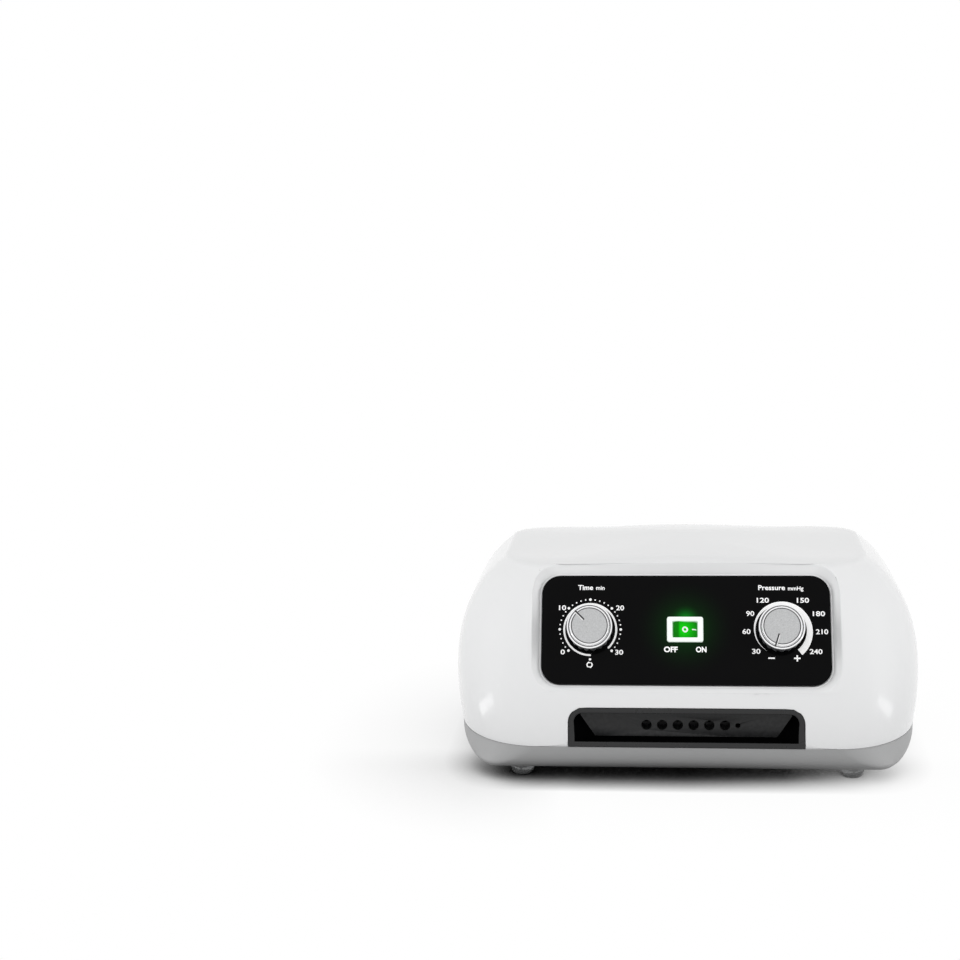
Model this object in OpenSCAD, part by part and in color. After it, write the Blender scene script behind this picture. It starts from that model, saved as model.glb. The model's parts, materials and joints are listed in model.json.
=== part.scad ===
// Air compression therapy pump: a moulded white housing on a grey base, with two dials, a lit
// rocker switch and a row of hose outlets in front, and the air supply inside.
// X is the width, Y runs from the front to the back, Z is up from the feet's lowest point.

/* [Housing] */
// Half width of the housing at its parting line
seam_half_w = 135.5; // [132:0.5:139]
// Half width of the housing where its sides swell most
swell_half_w = 142.5; // [140:0.5:146]
// Depth of the front wall at the parting line
seam_front = 94; // [92:0.5:96]
// Depth of the back wall at the parting line
seam_back = 90; // [88:0.5:91]
// Height of the parting line above the table
seam_z = 22; // [21:0.5:23]
// Height of the crown of the roof
crown_z = 126.8; // [125:0.1:129]
// How far back the crown lies
crown_y = 20; // [10:1:30]
// Wall thickness of the white housing
wall = 3; // [2.4:0.1:3.4]
// Height of the flat underside
floor_z = 8; // [7.5:0.5:8.5]
// Thickness of the base's floor and walls
base_wall = 2.5; // [2:0.1:3]

/* [Control panel] */
// Width of the black panel
panel_w = 167; // [160:1:170]
// Height of the black panel along its slope
panel_h = 64.6; // [62:0.2:66]
// Thickness of the black panel
panel_t = 3; // [2.5:0.1:3.5]
// Corner radius of the black panel
panel_r = 11; // [8:0.5:13]
// How far the panel leans back from upright
panel_lean = 26.5; // [25:0.5:28]
// Depth of the panel's centre in front of the origin
panel_front = 71; // [70:0.5:72]
// Height of the panel's centre
panel_z = 86; // [85:0.5:87]
// Distance of each dial from the middle
dial_x = 55.1; // [53:0.1:57]

/* [Knobs and switch] */
// Outer diameter of a knob
knob_d = 26.5; // [24:0.5:28]
// Height of a knob above the panel
knob_h = 12; // [11:0.5:14]
// Number of grip ribs round a knob
knob_ribs = 28; // [20:2:36]
// Diameter of a control shaft
shaft_d = 6; // [5.6:0.1:6.2]
// Length of the rocker switch's bezel
bezel_w = 21; // [20.6:0.1:22]
// Height of the rocker switch's bezel
bezel_h = 15; // [14.6:0.1:16]
// Turn of the rocker between ON and OFF
rocker_travel = 24; // [16:1:26]

/* [Hose outlets] */
// Width of the black hose tray
tray_w = 135.4; // [132:0.2:137]
// Height of the tray's front along its slope
tray_h = 22.7; // [22:0.1:23.5]
// Width of the tray's lip
lip_w = 3; // [2.5:0.1:3.5]
// Distance between two hose outlets
outlet_pitch = 9.06; // [8.8:0.02:9.1]
// Diameter of a hose outlet
outlet_d = 6; // [5:0.1:6.4]
// Diameter of the small bleed outlet
bleed_d = 3; // [2.4:0.1:3.4]
// Place of the bleed outlet across the tray
bleed_x = 30; // [29:0.2:31]
// Height of the row of outlets
outlet_z = 32; // [31.5:0.1:32.5]

/* [Feet] */
// Distance of the feet from the middle plane
foot_x = 96; // [92:1:98]
// Distance of the front feet in front of the origin
foot_front = 75; // [70:1:76]
// Distance of the rear feet behind the origin
foot_back = 68; // [60:1:70]

/* [Air supply] */
// Stroke of the compressor's armature to each side
armature_stroke = 1.5; // [0.5:0.1:2]
// Length of the compressor between its two heads
compressor_l = 84; // [82:1:86]
// Diameter of the rotary distributor
distributor_d = 52; // [50:1:54]
// Outer diameter of the air hoses
hose_d = 6; // [5.6:0.1:6.4]

/* [Hidden] */
$fn = 48;
eps = 0.01;

// Each half profile of the housing, from the parting line over the edge of the roof to the
// crown, as [reach from the middle, height]: four wall points, the edge, then the roof.
SIDE = [[seam_half_w, seam_z], [swell_half_w, 62], [swell_half_w - 4, 97], [112.5, 118],
        [108.5, 121.2], [99, 122.6], [64, crown_z], [0, crown_z]];
FRONT = [[seam_front, seam_z], [93, 48], [74, 88], [60, 115.5],
         [56.5, 122], [45, 123.6], [22, crown_z], [-crown_y, crown_z]];
BACK = [[seam_back, seam_z], [95.7, 58], [96.2, 94], [84, 110.5],
        [79.5, 117.5], [66, 120.4], [36, crown_z], [crown_y, crown_z]];
wall_steps = 8;
edge_steps = 3;
roof_steps = 4;
last_step = wall_steps + edge_steps + roof_steps;
quarter = 14;       // plan points in a quarter turn
flat_share = 0.2;   // share of them on each straight stretch
CORNER = [0.36, 0.70, 0.50];   // corner sizes of the plan: across, at the front, at the back

// Base rings, from the parting line down: [height, inset at the sides, inset at the ends,
// share of the change from the housing's corners to the base's own]
BASE_RINGS = [[seam_z, 0, 0, 0], [16, 1.5, 0.3, 0.6], [11.5, 4, 0.9, 1], [9, 9, 2.6, 1],
              [floor_z, 14, 4.6, 0.8]];
BASE_CORNER = [0.30, 0.54, 0.44];

boss_x = 104;
boss_front = 58;
boss_back = 62;
BOSSES = [[-boss_x, -boss_front], [boss_x, -boss_front], [-boss_x, boss_back], [boss_x, boss_back]];

lip_bottom_y = -94.6;
lip_lean = 10.84;
tray_back_y = -82.5;
port_depth = 10;
outlet_count = 6;
OUTLET_X = [for (i = [0:outlet_count - 1]) (i - (outlet_count - 1)/2)*outlet_pitch];

inlet_x = -58;
inlet_z = 42;
inlet_y = 93.4;     // outer face of both rear fittings
flange_t = 2.2;
fuse_x = -96;
fuse_r = 6;

knob_gap = 0.8;
cap_t = 3;
rocker_pivot = -2.4;

pump_x = 24;
pump_y = 34;
pump_z = 50;
rotor_x = 96;
rotor_y = -25;
rotor_z = 38;

white = "#eceded";
grey = "#a2a4a6";
black = "#151617";

// ---------------------------------------------------------------- shapes used more than once

function bez2(p, t) = (1 - t)^2*p[0] + 2*(1 - t)*t*p[1] + t^2*p[2];
function bez3(p, t) = (1 - t)^3*p[0] + 3*(1 - t)^2*t*p[1] + 3*(1 - t)*t^2*p[2] + t^3*p[3];

// A half profile as a row of points: the wall, the rounded edge and the roof
function meridian(p) = concat(
    [for (i = [0:wall_steps]) bez3([p[0], p[1], p[2], p[3]], i/wall_steps)],
    [for (i = [1:edge_steps]) bez2([p[3], p[4], p[5]], i/edge_steps)],
    [for (i = [1:roof_steps]) bez2([p[5], p[6], p[7]], i/roof_steps)]);

// The same row moved square to itself, into the wall
function inset_row(m, d) = [for (i = [0:last_step])
    let (t = m[min(i + 1, last_step)] - m[max(i - 1, 0)])
    i == last_step ? m[i] - [0, d] : m[i] - d*[t[1], -t[0]]/norm(t)];

// Point of the unit plan in quarter q, a rounded rectangle with elliptical corners
function plan_point(q, f, k) = let (
    ky = q < 2 ? k[2] : k[1],
    u = q % 2 == 0 ? f : 1 - f,
    a = 90*(u - flat_share)/(1 - 2*flat_share),
    x = u < flat_share ? 1 : u > 1 - flat_share ? (1 - k[0])*(1 - u)/flat_share
        : 1 - k[0] + k[0]*cos(a),
    y = u < flat_share ? (1 - ky)*u/flat_share : u > 1 - flat_share ? 1 : 1 - ky + ky*sin(a))
    [q % 3 == 0 ? x : -x, q < 2 ? y : -y];
function unit_plan(k) = [for (q = [0:3]) for (i = [0:quarter - 1]) plan_point(q, i/quarter, k)];

// One ring of the housing: the side, front and back profiles blended round the plan
function ring_point(u, i, side, front, back) = let (
    crown = crown_y*max(0, i - wall_steps - edge_steps)/roof_steps,
    end = u[1] < 0 ? front[i] : back[i],
    y = u[1] < 0 ? crown + u[1]*(end[0] + crown) : crown + u[1]*(end[0] - crown),
    w = u[0]^4/(u[0]^4 + u[1]^4))
    [u[0]*side[i][0], y, w*side[i][1] + (1 - w)*end[1]];
function housing_rings(d) = let (
    side = inset_row(meridian(SIDE), d),
    front = inset_row(meridian(FRONT), d),
    back = inset_row(meridian(BACK), d))
    [for (i = [0:last_step - 1]) [for (u = unit_plan(CORNER)) ring_point(u, i, side, front, back)]];

// Closed skin over a stack of rings, with a point at each end
module loft(rings, bottom, top) {
    n = len(rings[0]);
    last = len(rings) - 1;
    faces = concat(
        [for (i = [0:last - 1]) for (j = [0:n - 1]) let (a = i*n + j, b = i*n + (j + 1) % n)
            each [[a, a + n, b + n], [a, b + n, b]]],
        [for (j = [0:n - 1]) [n*(last + 1), j, (j + 1) % n]],
        [for (j = [0:n - 1]) [n*(last + 1) + 1, last*n + (j + 1) % n, last*n + j]]);
    polyhedron(concat([for (r = rings) each r], [bottom, top]), faces);
}

// Outside of the housing, or the same form d further in and open below the parting line
module housing_form(d = 0, drop = 0) {
    rings = housing_rings(d);
    skirt = drop > 0 ? [[for (p = rings[0]) [p[0], p[1], seam_z - drop]]] : [];
    loft(concat(skirt, rings), [0, 0, seam_z - drop], [0, crown_y, crown_z - d]);
}

// One ring of the base, d further in
function base_ring(r, z, d) = [for (u = unit_plan((1 - r[3])*CORNER + r[3]*BASE_CORNER))
    [u[0]*(seam_half_w - r[1] - d),
     u[1]*((u[1] < 0 ? seam_front : seam_back) - r[2] - d), z]];

// Outside of the base, or the same form d further in, higher at the floor and open at the top
module base_form(d = 0) {
    rings = [for (i = [len(BASE_RINGS) - 1:-1:0]) let (r = BASE_RINGS[i])
        base_ring(r, i == 0 ? seam_z + d : r[0] + d*(seam_z - r[0])/(seam_z - floor_z), d)];
    loft(rings, [0, 0, floor_z + d], [0, 0, seam_z + d]);
}

// Frame of a face that leans back: X across, Y up the slope, Z out of the face
module leaning(y, z, lean) {
    translate([0, y, z]) rotate([90 - lean, 0, 0]) children();
}
module on_panel() {
    leaning(-panel_front, panel_z, panel_lean) children();
}
module on_lip() {
    leaning(lip_bottom_y, seam_z, lip_lean) children();
}

module rounded_rect(w, h, r) {
    square([w, h - 2*r], center = true);
    square([w - 2*r, h], center = true);
    for (x = [-1, 1]) for (y = [-1, 1]) translate([x*(w/2 - r), y*(h/2 - r)]) circle(r);
}

module rounded_slab(w, h, r, t) {
    linear_extrude(t) rounded_rect(w, h, r);
}

// Upright arch standing on y = 0, square at the bottom and round at the top
module arch(w, h, r) {
    translate([-w/2, 0]) square([w, h - r]);
    translate([-w/2 + r, 0]) square([w - 2*r, h]);
    for (x = [-1, 1]) translate([x*(w/2 - r), h - r]) circle(r);
}

module tube(h, ro, ri) {
    difference() {
        cylinder(h = h, r = ro);
        translate([0, 0, -1]) cylinder(h = h + 2, r = ri);
    }
}

// Barbed nipple along Z: a tube with two sloping collars
module barb(h, r, bore) {
    difference() {
        union() {
            cylinder(h = h, r = r);
            for (z = [0.25, 0.6]) translate([0, 0, z*h]) cylinder(h = 0.28*h, r1 = r + 0.3, r2 = r);
        }
        translate([0, 0, -1]) cylinder(h = h + 2, r = bore);
    }
}

// Hose swept along a cubic curve between two barbs, as rings of points square to it, with a
// straight end pushed over each barb
hose_sides = 8;
hose_steps = 9;
barb_r = 2;
grip = 8.5;
function unit(v) = v/norm(v);
function hose_ring(p, t, r, on = 0) = let (
    d = unit(3*(1 - t)^2*(p[1] - p[0]) + 6*(1 - t)*t*(p[2] - p[1]) + 3*t^2*(p[3] - p[2])),
    side = unit(cross(d, [0, 0, 1] + eps*[1, 1, 0])),
    up = cross(side, d))
    [for (k = [0:hose_sides - 1]) let (a = 360*k/hose_sides)
        bez3(p, t) + on*d + r*(cos(a)*side + sin(a)*up)];
function hose_skin(p, r) = concat(hose_ring(p, 0, r, -grip),
    [for (i = [0:hose_steps]) each hose_ring(p, i/hose_steps, r)], hose_ring(p, 1, r, grip));
module hose(p, ro, ri) {
    n = hose_sides;
    end = n*(hose_steps + 2);
    skin = end + n;
    faces = [for (j = [0:n - 1]) let (k = (j + 1) % n) each concat(
        [for (i = [0:n:end - n]) each [[i + j, i + k + n, i + j + n], [i + j, i + k, i + k + n]]],
        [for (i = [skin:n:skin + end - n]) each [[i + j, i + j + n, i + k + n], [i + j, i + k + n, i + k]]],
        [[j, skin + k, k], [j, skin + j, skin + k]],
        [[end + j, end + k, skin + end + k], [end + j, skin + end + k, skin + end + j]])];
    polyhedron(concat(hose_skin(p, ro), hose_skin(p, ri)), faces);
}

// ---------------------------------------------------------------- housing

vent_count = 12;
vent_pitch = 6;
vent_l = 26;
vent_w = 2.6;

// Row of slots with round ends, cut along Z
module slot_row(count, pitch, length, width, depth) {
    for (i = [0:count - 1]) translate([(i - (count - 1)/2)*pitch, 0, 0]) linear_extrude(depth) hull() {
        translate([0, -length/2]) circle(width/2, $fn = 8);
        translate([0, length/2]) circle(width/2, $fn = 8);
    }
}

recess_w = 181;
recess_h = 76.5;
recess_r = 17;
recess_proud = 4;   // the recess's outline is given this far in front of the panel
recess_lift = 1.5;
floor_t = 2.5;

module panel_recess() {
    on_panel() {
        hull() {
            translate([0, recess_lift, recess_proud]) rounded_slab(recess_w, recess_h, recess_r, 6, $fn = 40);
            translate([0, 0, -eps]) rounded_slab(panel_w + 1.6, panel_h + 1.6, panel_r + 0.8, 0.1, $fn = 40);
        }
        translate([0, 0, -panel_t]) rounded_slab(panel_w + 0.3, panel_h + 0.3, panel_r, 8, $fn = 40);
        for (x = [-dial_x, dial_x]) translate([x, 0, -20]) cylinder(h = 30, r = 4.8, $fn = 32);
        translate([-9.7, -6.7, -20]) cube([19.4, 13.4, 30]);
    }
}

// Floor behind the panel, moulded with the housing
module panel_floor() {
    on_panel() translate([0, 1, -panel_t - floor_t])
        rounded_slab(recess_w + 5, recess_h + 5, recess_r + 2, panel_t + floor_t + 5, $fn = 40);
}

// Flat seats and openings for the mains inlet and the fuse holder
module rear_pockets() {
    translate([inlet_x, inlet_y - flange_t, inlet_z]) rotate([-90, 0, 0]) {
        rounded_slab(32.4, 20.4, 2.2, 20, $fn = 16);
        translate([-14, -8, -40]) cube([28, 16, 41]);
    }
    translate([fuse_x, inlet_y - flange_t, inlet_z]) rotate([-90, 0, 0]) {
        cylinder(h = 20, r = fuse_r + 2.8, $fn = 32);
        translate([0, 0, -40]) cylinder(h = 41, r = fuse_r + 0.2, $fn = 32);
    }
}

module upper_shell() {
    color(white) render(convexity = 6) difference() {
        union() {
            difference() {
                housing_form();
                housing_form(wall, 5);
            }
            intersection() {
                union() {
                    panel_floor();
                    for (b = BOSSES) translate([b[0], b[1], seam_z]) cylinder(h = 100, r = 5, $fn = 12);
                    translate([fuse_x - 11, inlet_y - flange_t - 6, inlet_z - 12]) cube([57, 6, 24]);
                }
                housing_form(wall/2, 0.5);
            }
        }
        panel_recess();
        for (b = BOSSES) translate([b[0], b[1], seam_z - 1]) cylinder(h = 17, r = 2, $fn = 16);
        on_lip() translate([0, -2, -20]) linear_extrude(30) arch(tray_w + 0.3, tray_h + 2.15, 8.6, $fn = 32);
        translate([34, 60, 62]) rotate([-90, 0, 0])
            slot_row(vent_count, vent_pitch, vent_l, vent_w, 50);
        rear_pockets();
    }
}

module lower_shell() {
    color(grey) render(convexity = 6) difference() {
        union() {
            difference() {
                base_form();
                base_form(base_wall);
            }
            for (b = BOSSES) translate([b[0], b[1], floor_z]) cylinder(h = seam_z - floor_z, r = 6, $fn = 20);
        }
        for (b = BOSSES) translate([b[0], b[1], 0]) {
            cylinder(h = floor_z + 6, r = 4, $fn = 20);
            cylinder(h = 40, r = 2.1, $fn = 12);
        }
        for (f = FEET) translate([f[0], f[1], 0]) cylinder(h = 20, r = 2.6, $fn = 12);
        for (y = [-34, 6]) translate([0, y, 0]) slot_row(8, 9, 24, 3.4, 20);
    }
}

// ---------------------------------------------------------------- feet and screws

FEET = [[-foot_x, -foot_front], [foot_x, -foot_front], [-foot_x, foot_back], [foot_x, foot_back]];

// Tapered rubber foot: a dome below the floor and a plug that snaps through it
module foot(i) {
    color("#9b9d9f") translate([FEET[i][0], FEET[i][1], 0]) rotate_extrude()
        polygon([[0, 0], [4.6, 0], [5.9, 0.8], [6.9, 2.6], [7.6, 5], [7.9, 7], [7.9, floor_z], [2.5, floor_z],
                 [2.5, floor_z + base_wall], [3.3, floor_z + base_wall], [2.2, floor_z + base_wall + 2.4],
                 [0, floor_z + base_wall + 2.4]]);
}
module foot_front_left() { foot(0); }
module foot_front_right() { foot(1); }
module foot_rear_left() { foot(2); }
module foot_rear_right() { foot(3); }

module housing_screws() {
    color("silver") for (b = BOSSES) translate([b[0], b[1], floor_z + 3.4]) difference() {
        union() {
            cylinder(h = 2.6, r = 3.7);
            cylinder(h = 20, r = 1.9);
        }
        for (a = [0, 90]) rotate([0, 0, a]) translate([-2.2, -0.4, -1]) cube([4.4, 0.8, 2.4]);
    }
}

// ---------------------------------------------------------------- panel and switch

module control_panel() {
    color(black) on_panel() translate([0, 0, -panel_t]) difference() {
        rounded_slab(panel_w, panel_h, panel_r, panel_t);
        for (x = [-dial_x, dial_x]) translate([x, 0, -1]) cylinder(h = panel_t + 2, r = 4.8);
        translate([-9.7, -6.7, -1]) cube([19.4, 13.4, panel_t + 2]);
    }
}

switch_depth = 15;
well_w = 14.7;
well_h = 9.5;
trunnion_r = 1;

// Snap-in body with its bezel, a well for the rocker and two pivot holes
module switch_housing() {
    color(white) on_panel() difference() {
        union() {
            difference() {
                rounded_slab(bezel_w, bezel_h, 1.2, 1.6);
                translate([0, 0, -1]) rounded_slab(well_w, well_h, 0.4, 4);
            }
            difference() {
                translate([-9.5, -6.5, -switch_depth]) cube([19, 13, switch_depth]);
                translate([-well_w/2, -well_h/2, -switch_depth + 2]) cube([well_w, well_h, switch_depth]);
            }
        }
        translate([0, 5.9, rocker_pivot]) rotate([90, 0, 0]) cylinder(h = 11.8, r = trunnion_r + 0.08);
    }
}

// Lit rocker, drawn level and then turned to its ON stop
module switch_rocker() {
    color("#22c03a") on_panel() translate([0, 0, rocker_pivot]) rotate([0, rocker_travel/2, 0]) {
        difference() {
            rotate([90, 0, 0]) translate([0, 0, -4.55]) linear_extrude(9.1)
                polygon([[-6.9, -1.6], [-6.9, 2.0], [-4.6, 4.3], [0, 3.5], [4.6, 4.3], [6.9, 2.0], [6.9, -1.6]]);
            translate([-5.4, -3.2, -2.6]) cube([10.8, 6.4, 4.4]);
        }
        for (s = [-1, 1]) translate([0, s*4.55, 0]) rotate([-s*90, 0, 0]) cylinder(h = 1.1, r = trunnion_r);
    }
}

module switch_lamp() {
    color("#9de7a6") on_panel() translate([0, 0, -switch_depth + 2]) {
        cylinder(h = 5, r = 1.9);
        translate([0, 0, 5]) sphere(r = 1.9);
    }
}

module switch_terminals() {
    color("goldenrod") on_panel() for (x = [-6.2, 0, 6.2])
        translate([x - 0.4, -2.4, -switch_depth - 9]) cube([0.8, 4.8, 9]);
}

// ---------------------------------------------------------------- knobs and controls

// Skirt with grip ribs, hollow below for the nut, on a hub for the shaft
module knob_body() {
    body_h = knob_h - cap_t - knob_gap;
    translate([0, 0, knob_gap]) difference() {
        union() {
            cylinder(h = body_h, r = knob_d/2 - 0.7);
            cylinder(h = 1.6, r = knob_d/2);
            for (i = [0:knob_ribs - 1]) rotate([0, 0, 360*i/knob_ribs])
                translate([knob_d/2 - 1.2, -0.65, 0]) cube([1.2, 1.3, body_h - 0.6]);
        }
        translate([0, 0, -1]) cylinder(h = 5, r = 9.5);
        translate([0, 0, -1]) cylinder(h = body_h + 2, r = shaft_d/2);
    }
}

// Turned face: a flat disc with a groove, a raised ring and a bevel down to the skirt
module knob_face() {
    r = knob_d/2;
    translate([0, 0, knob_h - cap_t]) difference() {
        rotate_extrude($fn = 64) polygon([[0, 0], [r, 0], [r, 0.9], [r - 0.4, 1.4], [r - 0.8, 1.5],
            [r - 1.2, 1.1], [r - 1.6, 2.3], [r - 2, cap_t], [r - 2.4, cap_t], [r - 2.8, 2.5], [0, 2.5]]);
        translate([-0.6, r - 8.6, 1.9]) cube([1.2, 6.2, 2]);
    }
}

module dial_part(x, turn) {
    on_panel() translate([x, 0, 0]) rotate([0, 0, -turn]) children();
}
module time_dial() { dial_part(-dial_x, -45) children(); }
module pressure_dial() { dial_part(dial_x, 197.4) children(); }

// Round shaft, pressed into its knob
module control_shaft(depth) {
    translate([0, 0, -depth]) cylinder(h = depth + knob_h - cap_t, r = shaft_d/2);
}

module fixing_nut() {
    difference() {
        cylinder(h = 2, r = 6.9, $fn = 6);
        translate([0, 0, -1]) cylinder(h = 4, r = 4.58);
    }
}

// Threaded neck through the panel, bored for the shaft
module neck() {
    translate([0, 0, -panel_t - floor_t]) cylinder(h = panel_t + floor_t + 3, r = 4.5);
}

module time_knob() { color("#55585b") time_dial() knob_body(); }
module time_knob_cap() { color("#c9cccf") time_dial() knob_face(); }
module timer_shaft() { color("silver") time_dial() control_shaft(20); }
module timer_nut() { color("silver") time_dial() fixing_nut(); }
module timer_body() {
    back = panel_t + floor_t;
    color("#d8d2bf") time_dial() difference() {
        union() {
            neck();
            translate([0, 0, -back - 22]) cylinder(h = 22, r = 19);
            translate([0, 0, -back - 24]) cylinder(h = 2, r = 17);
            for (a = [30:60:330]) rotate([0, 0, a]) translate([17.4, -1.5, -back - 20]) cube([3, 3, 18]);
        }
        translate([0, 0, -20.5]) cylinder(h = 40, r = shaft_d/2 + 0.06);
    }
}

module pressure_knob() { color("#55585b") pressure_dial() knob_body(); }
module pressure_knob_cap() { color("#c9cccf") pressure_dial() knob_face(); }
module pressure_shaft() { color("silver") pressure_dial() control_shaft(11); }
module pressure_nut() { color("silver") pressure_dial() fixing_nut(); }
bleed_depth = 10;   // depth of its nipple behind the panel's face
module pressure_control() {
    back = panel_t + floor_t;
    color("#6b6f74") on_panel() translate([dial_x, 0, 0]) difference() {
        union() {
            neck();
            translate([0, 0, -back - 9]) cylinder(h = 9, r = 12);
            for (a = [30:60:330]) rotate([0, 0, a]) translate([11, -1, -back - 9]) cube([2, 2, 8]);
            translate([-11.5, 0, -bleed_depth]) rotate([0, -90, 0]) barb(10, 1.4, 0.7);
        }
        translate([0, 0, -11.5]) cylinder(h = 40, r = shaft_d/2 + 0.06);
    }
}

// ---------------------------------------------------------------- hose outlets

well_bottom = 3.2;
well_back_w = 105;
well_back_h = 15.2;
manifold_w = 125;
manifold_h = 20.6;

// Frame round the outlets: a leaning lip, a floor and walls that close in towards the back
module hose_tray() {
    inner_w = tray_w - 2*lip_w;
    low = well_back_w/2;
    high = well_back_w/2 + 8.4;
    color("#1b1c1d") difference() {
        intersection() {
            on_lip() translate([0, 0, -30]) linear_extrude(30) arch(tray_w, tray_h, 8.5);
            translate([-100, -120, seam_z]) cube([200, 120 + tray_back_y, 60]);
        }
        hull() {
            on_lip() translate([0, well_bottom, 0]) linear_extrude(0.2)
                arch(inner_w, tray_h - lip_w - well_bottom, 5.5, $fn = 32);
            translate([0, tray_back_y, seam_z + well_bottom]) rotate([90, 0, 0]) translate([0, 0, -0.2])
                linear_extrude(0.2) polygon([[-low, 0], [low, 0], [high, well_back_h - 2.2],
                    [high - 2, well_back_h], [2 - high, well_back_h], [-high, well_back_h - 2.2]]);
        }
    }
}

// Plate that closes the tray, with the sockets for the hose ends and barbs behind them
module outlet_manifold() {
    color("#232425") difference() {
        union() {
            translate([-manifold_w/2, tray_back_y, seam_z + 0.4]) cube([manifold_w, 3, manifold_h]);
            translate([-32, tray_back_y, outlet_z - 6]) cube([68, 12, 12]);
            for (x = OUTLET_X) translate([x, tray_back_y + 12 - eps, outlet_z]) rotate([-90, 0, 0]) barb(10, barb_r, 1.2);
            translate([bleed_x, tray_back_y + 9, outlet_z + 6 - eps]) barb(10, 1.4, 0.7);
        }
        for (x = OUTLET_X) translate([x, tray_back_y, outlet_z]) rotate([-90, 0, 0]) {
            translate([0, 0, -1]) cylinder(h = port_depth + 1, r = outlet_d/2);
            cylinder(h = 14, r = 1.2);
        }
        translate([bleed_x, tray_back_y, outlet_z]) rotate([-90, 0, 0]) {
            translate([0, 0, -1]) cylinder(h = port_depth + 1, r = bleed_d/2);
        }
        translate([bleed_x, tray_back_y + 9, outlet_z]) cylinder(h = 8, r = 0.7);
    }
}

// ---------------------------------------------------------------- mains side

pin_pitch = 8.6;
plug_r = 4.2;

// Two-pole appliance inlet with its figure-of-eight well
module mains_inlet() {
    color(black) translate([inlet_x, inlet_y, inlet_z]) rotate([-90, 0, 0]) difference() {
        union() {
            translate([0, 0, -flange_t]) rounded_slab(32, 20, 2, flange_t);
            translate([-13.8, -7.8, -22]) cube([27.6, 15.6, 20]);
        }
        for (s = [-1, 1]) translate([s*pin_pitch/2, 0, -13]) cylinder(h = 20, r = plug_r);
        translate([-pin_pitch/2, -plug_r + 0.6, -13]) cube([pin_pitch, 2*plug_r - 1.2, 20]);
    }
}

module inlet_pins() {
    color("goldenrod") translate([inlet_x, inlet_y, inlet_z]) rotate([-90, 0, 0]) for (s = [-1, 1]) {
        translate([s*pin_pitch/2, 0, -13]) cylinder(h = 10.5, r = 1.2);
        translate([s*pin_pitch/2 - 0.4, -2.4, -30]) cube([0.8, 4.8, 8]);
    }
}

module fuse_holder() {
    color(black) translate([fuse_x, inlet_y - flange_t, inlet_z]) rotate([-90, 0, 0]) {
        tube(flange_t, fuse_r + 2.5, 4.2);
        translate([0, 0, -28]) tube(28, fuse_r, 4.2);
        translate([0, 0, -30]) cylinder(h = 2, r = fuse_r);
    }
}

module fuse_cap() {
    color(black) translate([fuse_x, inlet_y, inlet_z]) rotate([-90, 0, 0]) difference() {
        union() {
            translate([0, 0, -8]) cylinder(h = 8, r = 4.1);
            cylinder(h = 1.2, r = fuse_r + 0.6);
        }
        translate([-5, -0.6, 0.4]) cube([10, 1.2, 2]);
    }
}

// ---------------------------------------------------------------- compressor

head_l = 17;
frame_w = 62;
frame_h = 60;
frame_t = 2;
head_gap = armature_stroke + 2.5;

module at_pump() {
    translate([pump_x, pump_y, pump_z]) children();
}

// Open box of folded sheet with an end plate for each pump head
module compressor_frame() {
    l = compressor_l;
    color("#9aa0a6") at_pump() difference() {
        union() {
            translate([-l/2, -frame_w/2, -frame_h/2 - frame_t]) cube([l, frame_w, frame_t]);
            for (s = [-1, 1]) translate([s*(l/2 - frame_t/2) - frame_t/2, -frame_w/2, -frame_h/2])
                cube([frame_t, frame_w, frame_h]);
        }
        translate([-l, 0, 0]) rotate([0, 90, 0]) cylinder(h = 2*l, r = 23);
        for (x = [-30, 30]) for (y = [-24, 24]) translate([x, y, -frame_h/2 - 5]) cylinder(h = 10, r = 2.6);
    }
}

// E-shaped core of the magnet, its three legs towards the armature
module core() {
    translate([-24, 22, -20]) cube([48, 7, 40]);
    for (leg = [[-24, 7], [-5, 10], [17, 7]]) translate([leg[0], 9, -20]) cube([leg[1], 13, 40]);
}
module stator_front() {
    color("#7d8288") at_pump() rotate([0, 0, 180]) core();
}
module stator_rear() {
    color("#7d8288") at_pump() core();
}

// Bobbin of wire round the core's middle leg
module winding() {
    translate([0, 10, 0]) rotate([-90, 0, 0]) linear_extrude(11) difference() {
        rounded_rect(21, 51, 4);
        rounded_rect(10.6, 40.6, 0.5);
    }
}
module coil_front() {
    color("#b5652b") at_pump() rotate([0, 0, 180]) winding();
}
module coil_rear() {
    color("#b5652b") at_pump() winding();
}

diaphragm_r = 22.5;
hub_r = 9;
diaphragm_x = compressor_l/2 - frame_t - 1;

// Rod with its magnets and, at each end, the plate that drives a diaphragm
module armature() {
    color("#c7cbd0") at_pump() {
        translate([-diaphragm_x - 3, 0, 0]) rotate([0, 90, 0]) cylinder(h = 2*diaphragm_x + 6, r = 3);
        difference() {
            translate([-22, -7, -18]) cube([44, 14, 36]);
            for (x = [-12, 12]) translate([x - 3, -8, -14]) cube([6, 16, 8]);
        }
        for (s = [-1, 1]) translate([s*(diaphragm_x + 1.6) - 1, 0, 0]) rotate([0, 90, 0]) cylinder(h = 2, r = hub_r);
    }
}

// Rubber disc with a rolled convolution, clamped at its rim
module diaphragm(s) {
    color("#2b2b2d") at_pump() translate([s*(diaphragm_x + 1.6), 0, 0]) rotate([0, s*90, 0]) rotate_extrude()
        polygon([[hub_r + 0.3, -0.6], [hub_r + 3, -0.6], [14.5, 1.6], [18, -0.6], [diaphragm_r, -0.6],
                 [diaphragm_r, 0.6], [18.6, 0.6], [14.5, 3.0], [hub_r + 2.4, 0.6], [hub_r + 0.3, 0.6]]);
}
module diaphragm_left() { diaphragm(-1); }
module diaphragm_right() { diaphragm(1); }

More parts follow.
